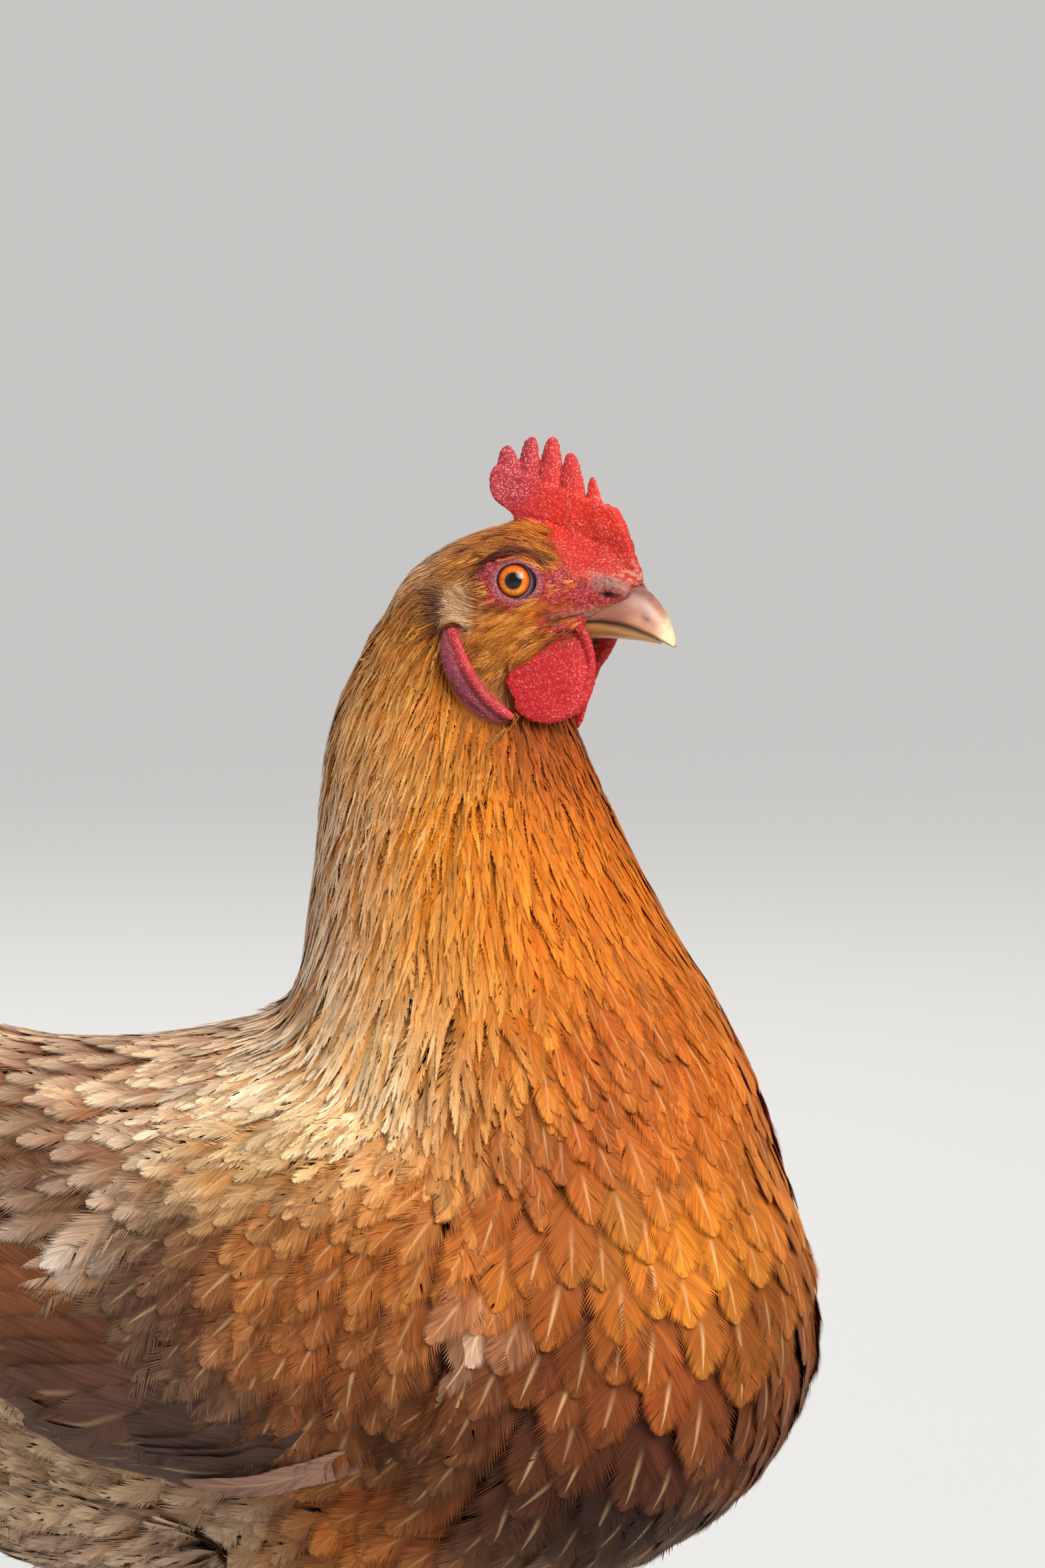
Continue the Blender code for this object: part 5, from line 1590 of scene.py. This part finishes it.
def tailFan():
    # a roof of feathers: the middle pair highest and longest, the others lower and further out
    c = tailSettings
    share = np.tile(np.linspace(0, 1, c["pairs"]), 2)
    along = np.linspace(0, 1, 9)
    droop = -7 * along ** 2
    paths, normals = [], []
    for sign, k in zip(np.repeat(list(sides.values()), c["pairs"]), share):
        line = np.stack([-fromTo(c["long"], k) * along, sign * droop * 0.5, droop], 1)
        turn = Matrix.Rotation(math.radians(-sign * fromTo(c["spread"], k)), 3, "Z")
        turn = turn @ Matrix.Rotation(math.radians(fromTo(c["rise"], k)), 3, "Y")
        turn = np.array(turn @ Matrix.Rotation(math.radians(sign * fromTo(c["lean"], k)), 3, "X"))
        root = np.array([c["root"][0], sign * (8 + 4.5 * k), c["root"][1] - 16 * k])
        paths.append(toWorld(line @ turn.T + root))
        normals.append(np.repeat((turn @ np.array([0, sign, 0.15]))[None], 9, 0))
    long, path = fromTo(c["long"], share), np.stack(paths)
    facts = plainFacts(len(paths), flightTones["tail"], flightTones["tailTip"], long=long, wide=c["wide"],
                       deep=1.6 - 2.4 * share, shaft=0.4, fray=0.15, point=0.1)
    facts["shade"] = rng.uniform(0.88, 1.1, len(paths))
    facts["uv"] = rootPatch(path[:, 0])
    return vanes(path, unit(np.stack(normals)), facts, 56, 0.5)


for side, sign in sides.items():
    plumage.append(addPiece(f"flights_{side}", wingFlights(sign)))
plumage.append(addPiece("tailFeathers", tailFan()))
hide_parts("tail")


def featherMaterial():
    made, tree, shader = newMaterial("plumage", {"Roughness": 0.6, "Specular IOR Level": 0.12})
    read = {label: attribute(tree, name) for label, name in
            (("Across", "across"), ("Along", "along"), ("Chance", "chance"), ("Shaft", "shaft"), ("Long", "barbs"))}
    colour = attribute(tree, "tone", "Color")
    group = addNode(tree, "ShaderNodeGroup", {"node_tree": barbStreaks}, Colour=colour, **read)
    tree.links.new(group.outputs["Colour"], shader.inputs["Base Color"])
    tree.links.new(group.outputs["Normal"], shader.inputs["Normal"])
    return made


def barbGroup():
    # fine barbs slanting from the shaft, and the pale shaft itself
    inputs = [("Colour", "NodeSocketColor", None)]
    inputs += [(label, "NodeSocketFloat", 0.0) for label in ("Across", "Along", "Chance", "Shaft", "Long")]
    outputs = [("Colour", "NodeSocketColor"), ("Normal", "NodeSocketVector")]
    group, given, out = nodeGroup("barbStreaks", inputs, outputs)
    apart = math2(group, "ABSOLUTE", given["Across"])
    alongBarb = math2(group, "SUBTRACT", given["Along"], math2(group, "MULTIPLY", apart, 0.12))
    count = math2(group, "MULTIPLY", alongBarb, given["Long"])
    sideSign = math2(group, "SIGN", given["Across"])
    seed = math2(group, "MULTIPLY_ADD", given["Chance"], 91.0, math2(group, "MULTIPLY", sideSign, 7.0))

    def barbNoise(along, across, detail):
        across, along = math2(group, "MULTIPLY", apart, across), math2(group, "MULTIPLY", count, along)
        place = addNode(group, "ShaderNodeCombineXYZ", X=along, Y=across, Z=seed).outputs[0]
        return noiseNode(group, place, 1.0, 2.0, detail)

    fine, broad = barbNoise(2.6, 0.7, 0.6), barbNoise(0.35, 0.8, 0.5)
    shade = math2(group, "ADD", ramped(group, fine, 0.3, 0.7, 0.7, 1.24), ramped(group, broad, 0.3, 0.7, -0.12, 0.12))
    barbed = vectorMath(group, "SCALE", i0=given["Colour"], Scale=shade)
    line = ramped(group, apart, 0.0, 0.17, 0.72, 0.0)
    fade = ramped(group, given["Along"], 0.86, 0.99, 0.8, 0.0)
    fade = math2(group, "MULTIPLY", ramped(group, given["Along"], 0.4, 0.7), fade)
    mask = math2(group, "MULTIPLY", math2(group, "MULTIPLY", line, fade), given["Shaft"])
    group.links.new(mixColour(group, mask, barbed, (*linear("f0c890"), 1)), out["Colour"])
    relief = math2(group, "ADD", fine, math2(group, "MULTIPLY", line, 1.5))
    group.links.new(bumped(group, 0.35, 0.00025, relief), out["Normal"])
    return group


barbStreaks = barbGroup()
plumageMaterial = featherMaterial()
for piece in plumage:
    piece.data.materials.append(plumageMaterial)
    dressed(piece, "plumage")
triangles = [len(piece.data.polygons) for piece in plumage]
print("plumage", sum(triangles), max(triangles))


# ---- floor, light and camera
stageSettings = {
    "azimuth": 20, "rise": 4.7, "distance": 1.6, "look": (16.3, 0, 315), "frameTall": 427.6, "sensor": 36,
    "sun": (1.5, -1.2, 1.45), "sunPower": 2.7, "sunWide": 44, "floor": 0.64, "sky": (0.95, 0.97, 1.0),
    "key": (1.5, -0.9, 1.0, 22, 0.9), "fill": (-1.6, -1.9, 1.2, 5, 2.0), "rim": (-1.2, 1.6, 1.8, 22, 1.4),
    "world": 0.4,
}


def makeFloor():
    size, count = 40.0, 48
    line = np.linspace(-size, size, count)
    gx, gy = np.meshgrid(line, line, indexing="ij")
    points = np.stack([gx.ravel(), gy.ravel(), np.zeros(count * count)], 1)
    i, j = np.meshgrid(np.arange(count - 1), np.arange(count - 1), indexing="ij")
    a = (i * count + j).ravel()
    floor = addPiece("floor", meshFrom("floor", points, np.stack([a, a + count, a + count + 1, a + 1], 1)))
    made, tree, shader = newMaterial("paleFloor", {"Roughness": 1.0, "Specular IOR Level": 0.0})
    speck = addNode(tree, "ShaderNodeTexNoise", Scale=9.0, Detail=6.0).outputs["Fac"]
    pale = np.array([1, 0.975, 0.94]) * stageSettings["floor"]
    speckled = mixColour(tree, ramped(tree, speck, 0.3, 0.7), (*pale * 0.985, 1), (*pale * 1.015, 1))
    tree.links.new(speckled, shader.inputs["Base Color"])
    floor.data.materials.append(made)
    return floor


def makeLight(name, spec, target):
    lamp = bpy.data.lights.new(name, "AREA")
    lamp.energy, lamp.size = spec[3], spec[4]
    obj = addPiece(name, lamp)
    obj.location = target + Vector(spec[:3])
    obj.rotation_euler = (target - obj.location).to_track_quat("-Z", "Y").to_euler()
    return obj


def makeSun():
    # broad and even, so that the floor is as bright far off as near
    lamp = bpy.data.lights.new("sun", "SUN")
    lamp.energy, lamp.angle = stageSettings["sunPower"], math.radians(stageSettings["sunWide"])
    obj = addPiece("sunLight", lamp)
    obj.rotation_euler = Vector(stageSettings["sun"]).to_track_quat("Z", "Y").to_euler()


def makeCamera():
    turn, rise = math.radians(stageSettings["azimuth"]), math.radians(stageSettings["rise"])
    back = Vector((math.sin(turn) * math.cos(rise), -math.cos(turn) * math.cos(rise), math.sin(rise)))
    look = Vector(toWorld(stageSettings["look"]))
    data = bpy.data.cameras.new("camera")
    data.sensor_width = stageSettings["sensor"]
    data.lens = stageSettings["sensor"] * stageSettings["distance"] / (stageSettings["frameTall"] * mm)
    camera = addPiece("camera", data)
    camera.location = look + back * stageSettings["distance"]
    camera.rotation_euler = back.to_track_quat("Z", "Y").to_euler()
    bpy.context.scene.camera = camera


makeFloor()
target = Vector(toWorld((0, 0, 250)))
for name in ("key", "fill", "rim"):
    makeLight(name + "Light", stageSettings[name], target)
makeSun()
world = bpy.data.worlds.new("studio")
bpy.context.scene.world = world
world.use_nodes = True
tree = world.node_tree
sky = tree.nodes["Background"]
# behind the bird the sky has the colour of the lit floor, so that no edge shows between them
steep = stageSettings["sun"][2] / math.dist(stageSettings["sun"], (0, 0, 0))
lit = stageSettings["sunPower"] * steep / math.pi + stageSettings["world"] * np.array(stageSettings["sky"])
backdrop = np.array([1, 0.975, 0.94]) * stageSettings["floor"] * lit
seen = addNode(tree, "ShaderNodeLightPath").outputs["Is Camera Ray"]
given = np.array(stageSettings["sky"]) * stageSettings["world"]
tree.links.new(mixColour(tree, seen, (*given, 1), (*backdrop, 1)), sky.inputs["Color"])
bpy.context.scene.view_settings.view_transform = "Standard"
makeCamera()
print("stage")
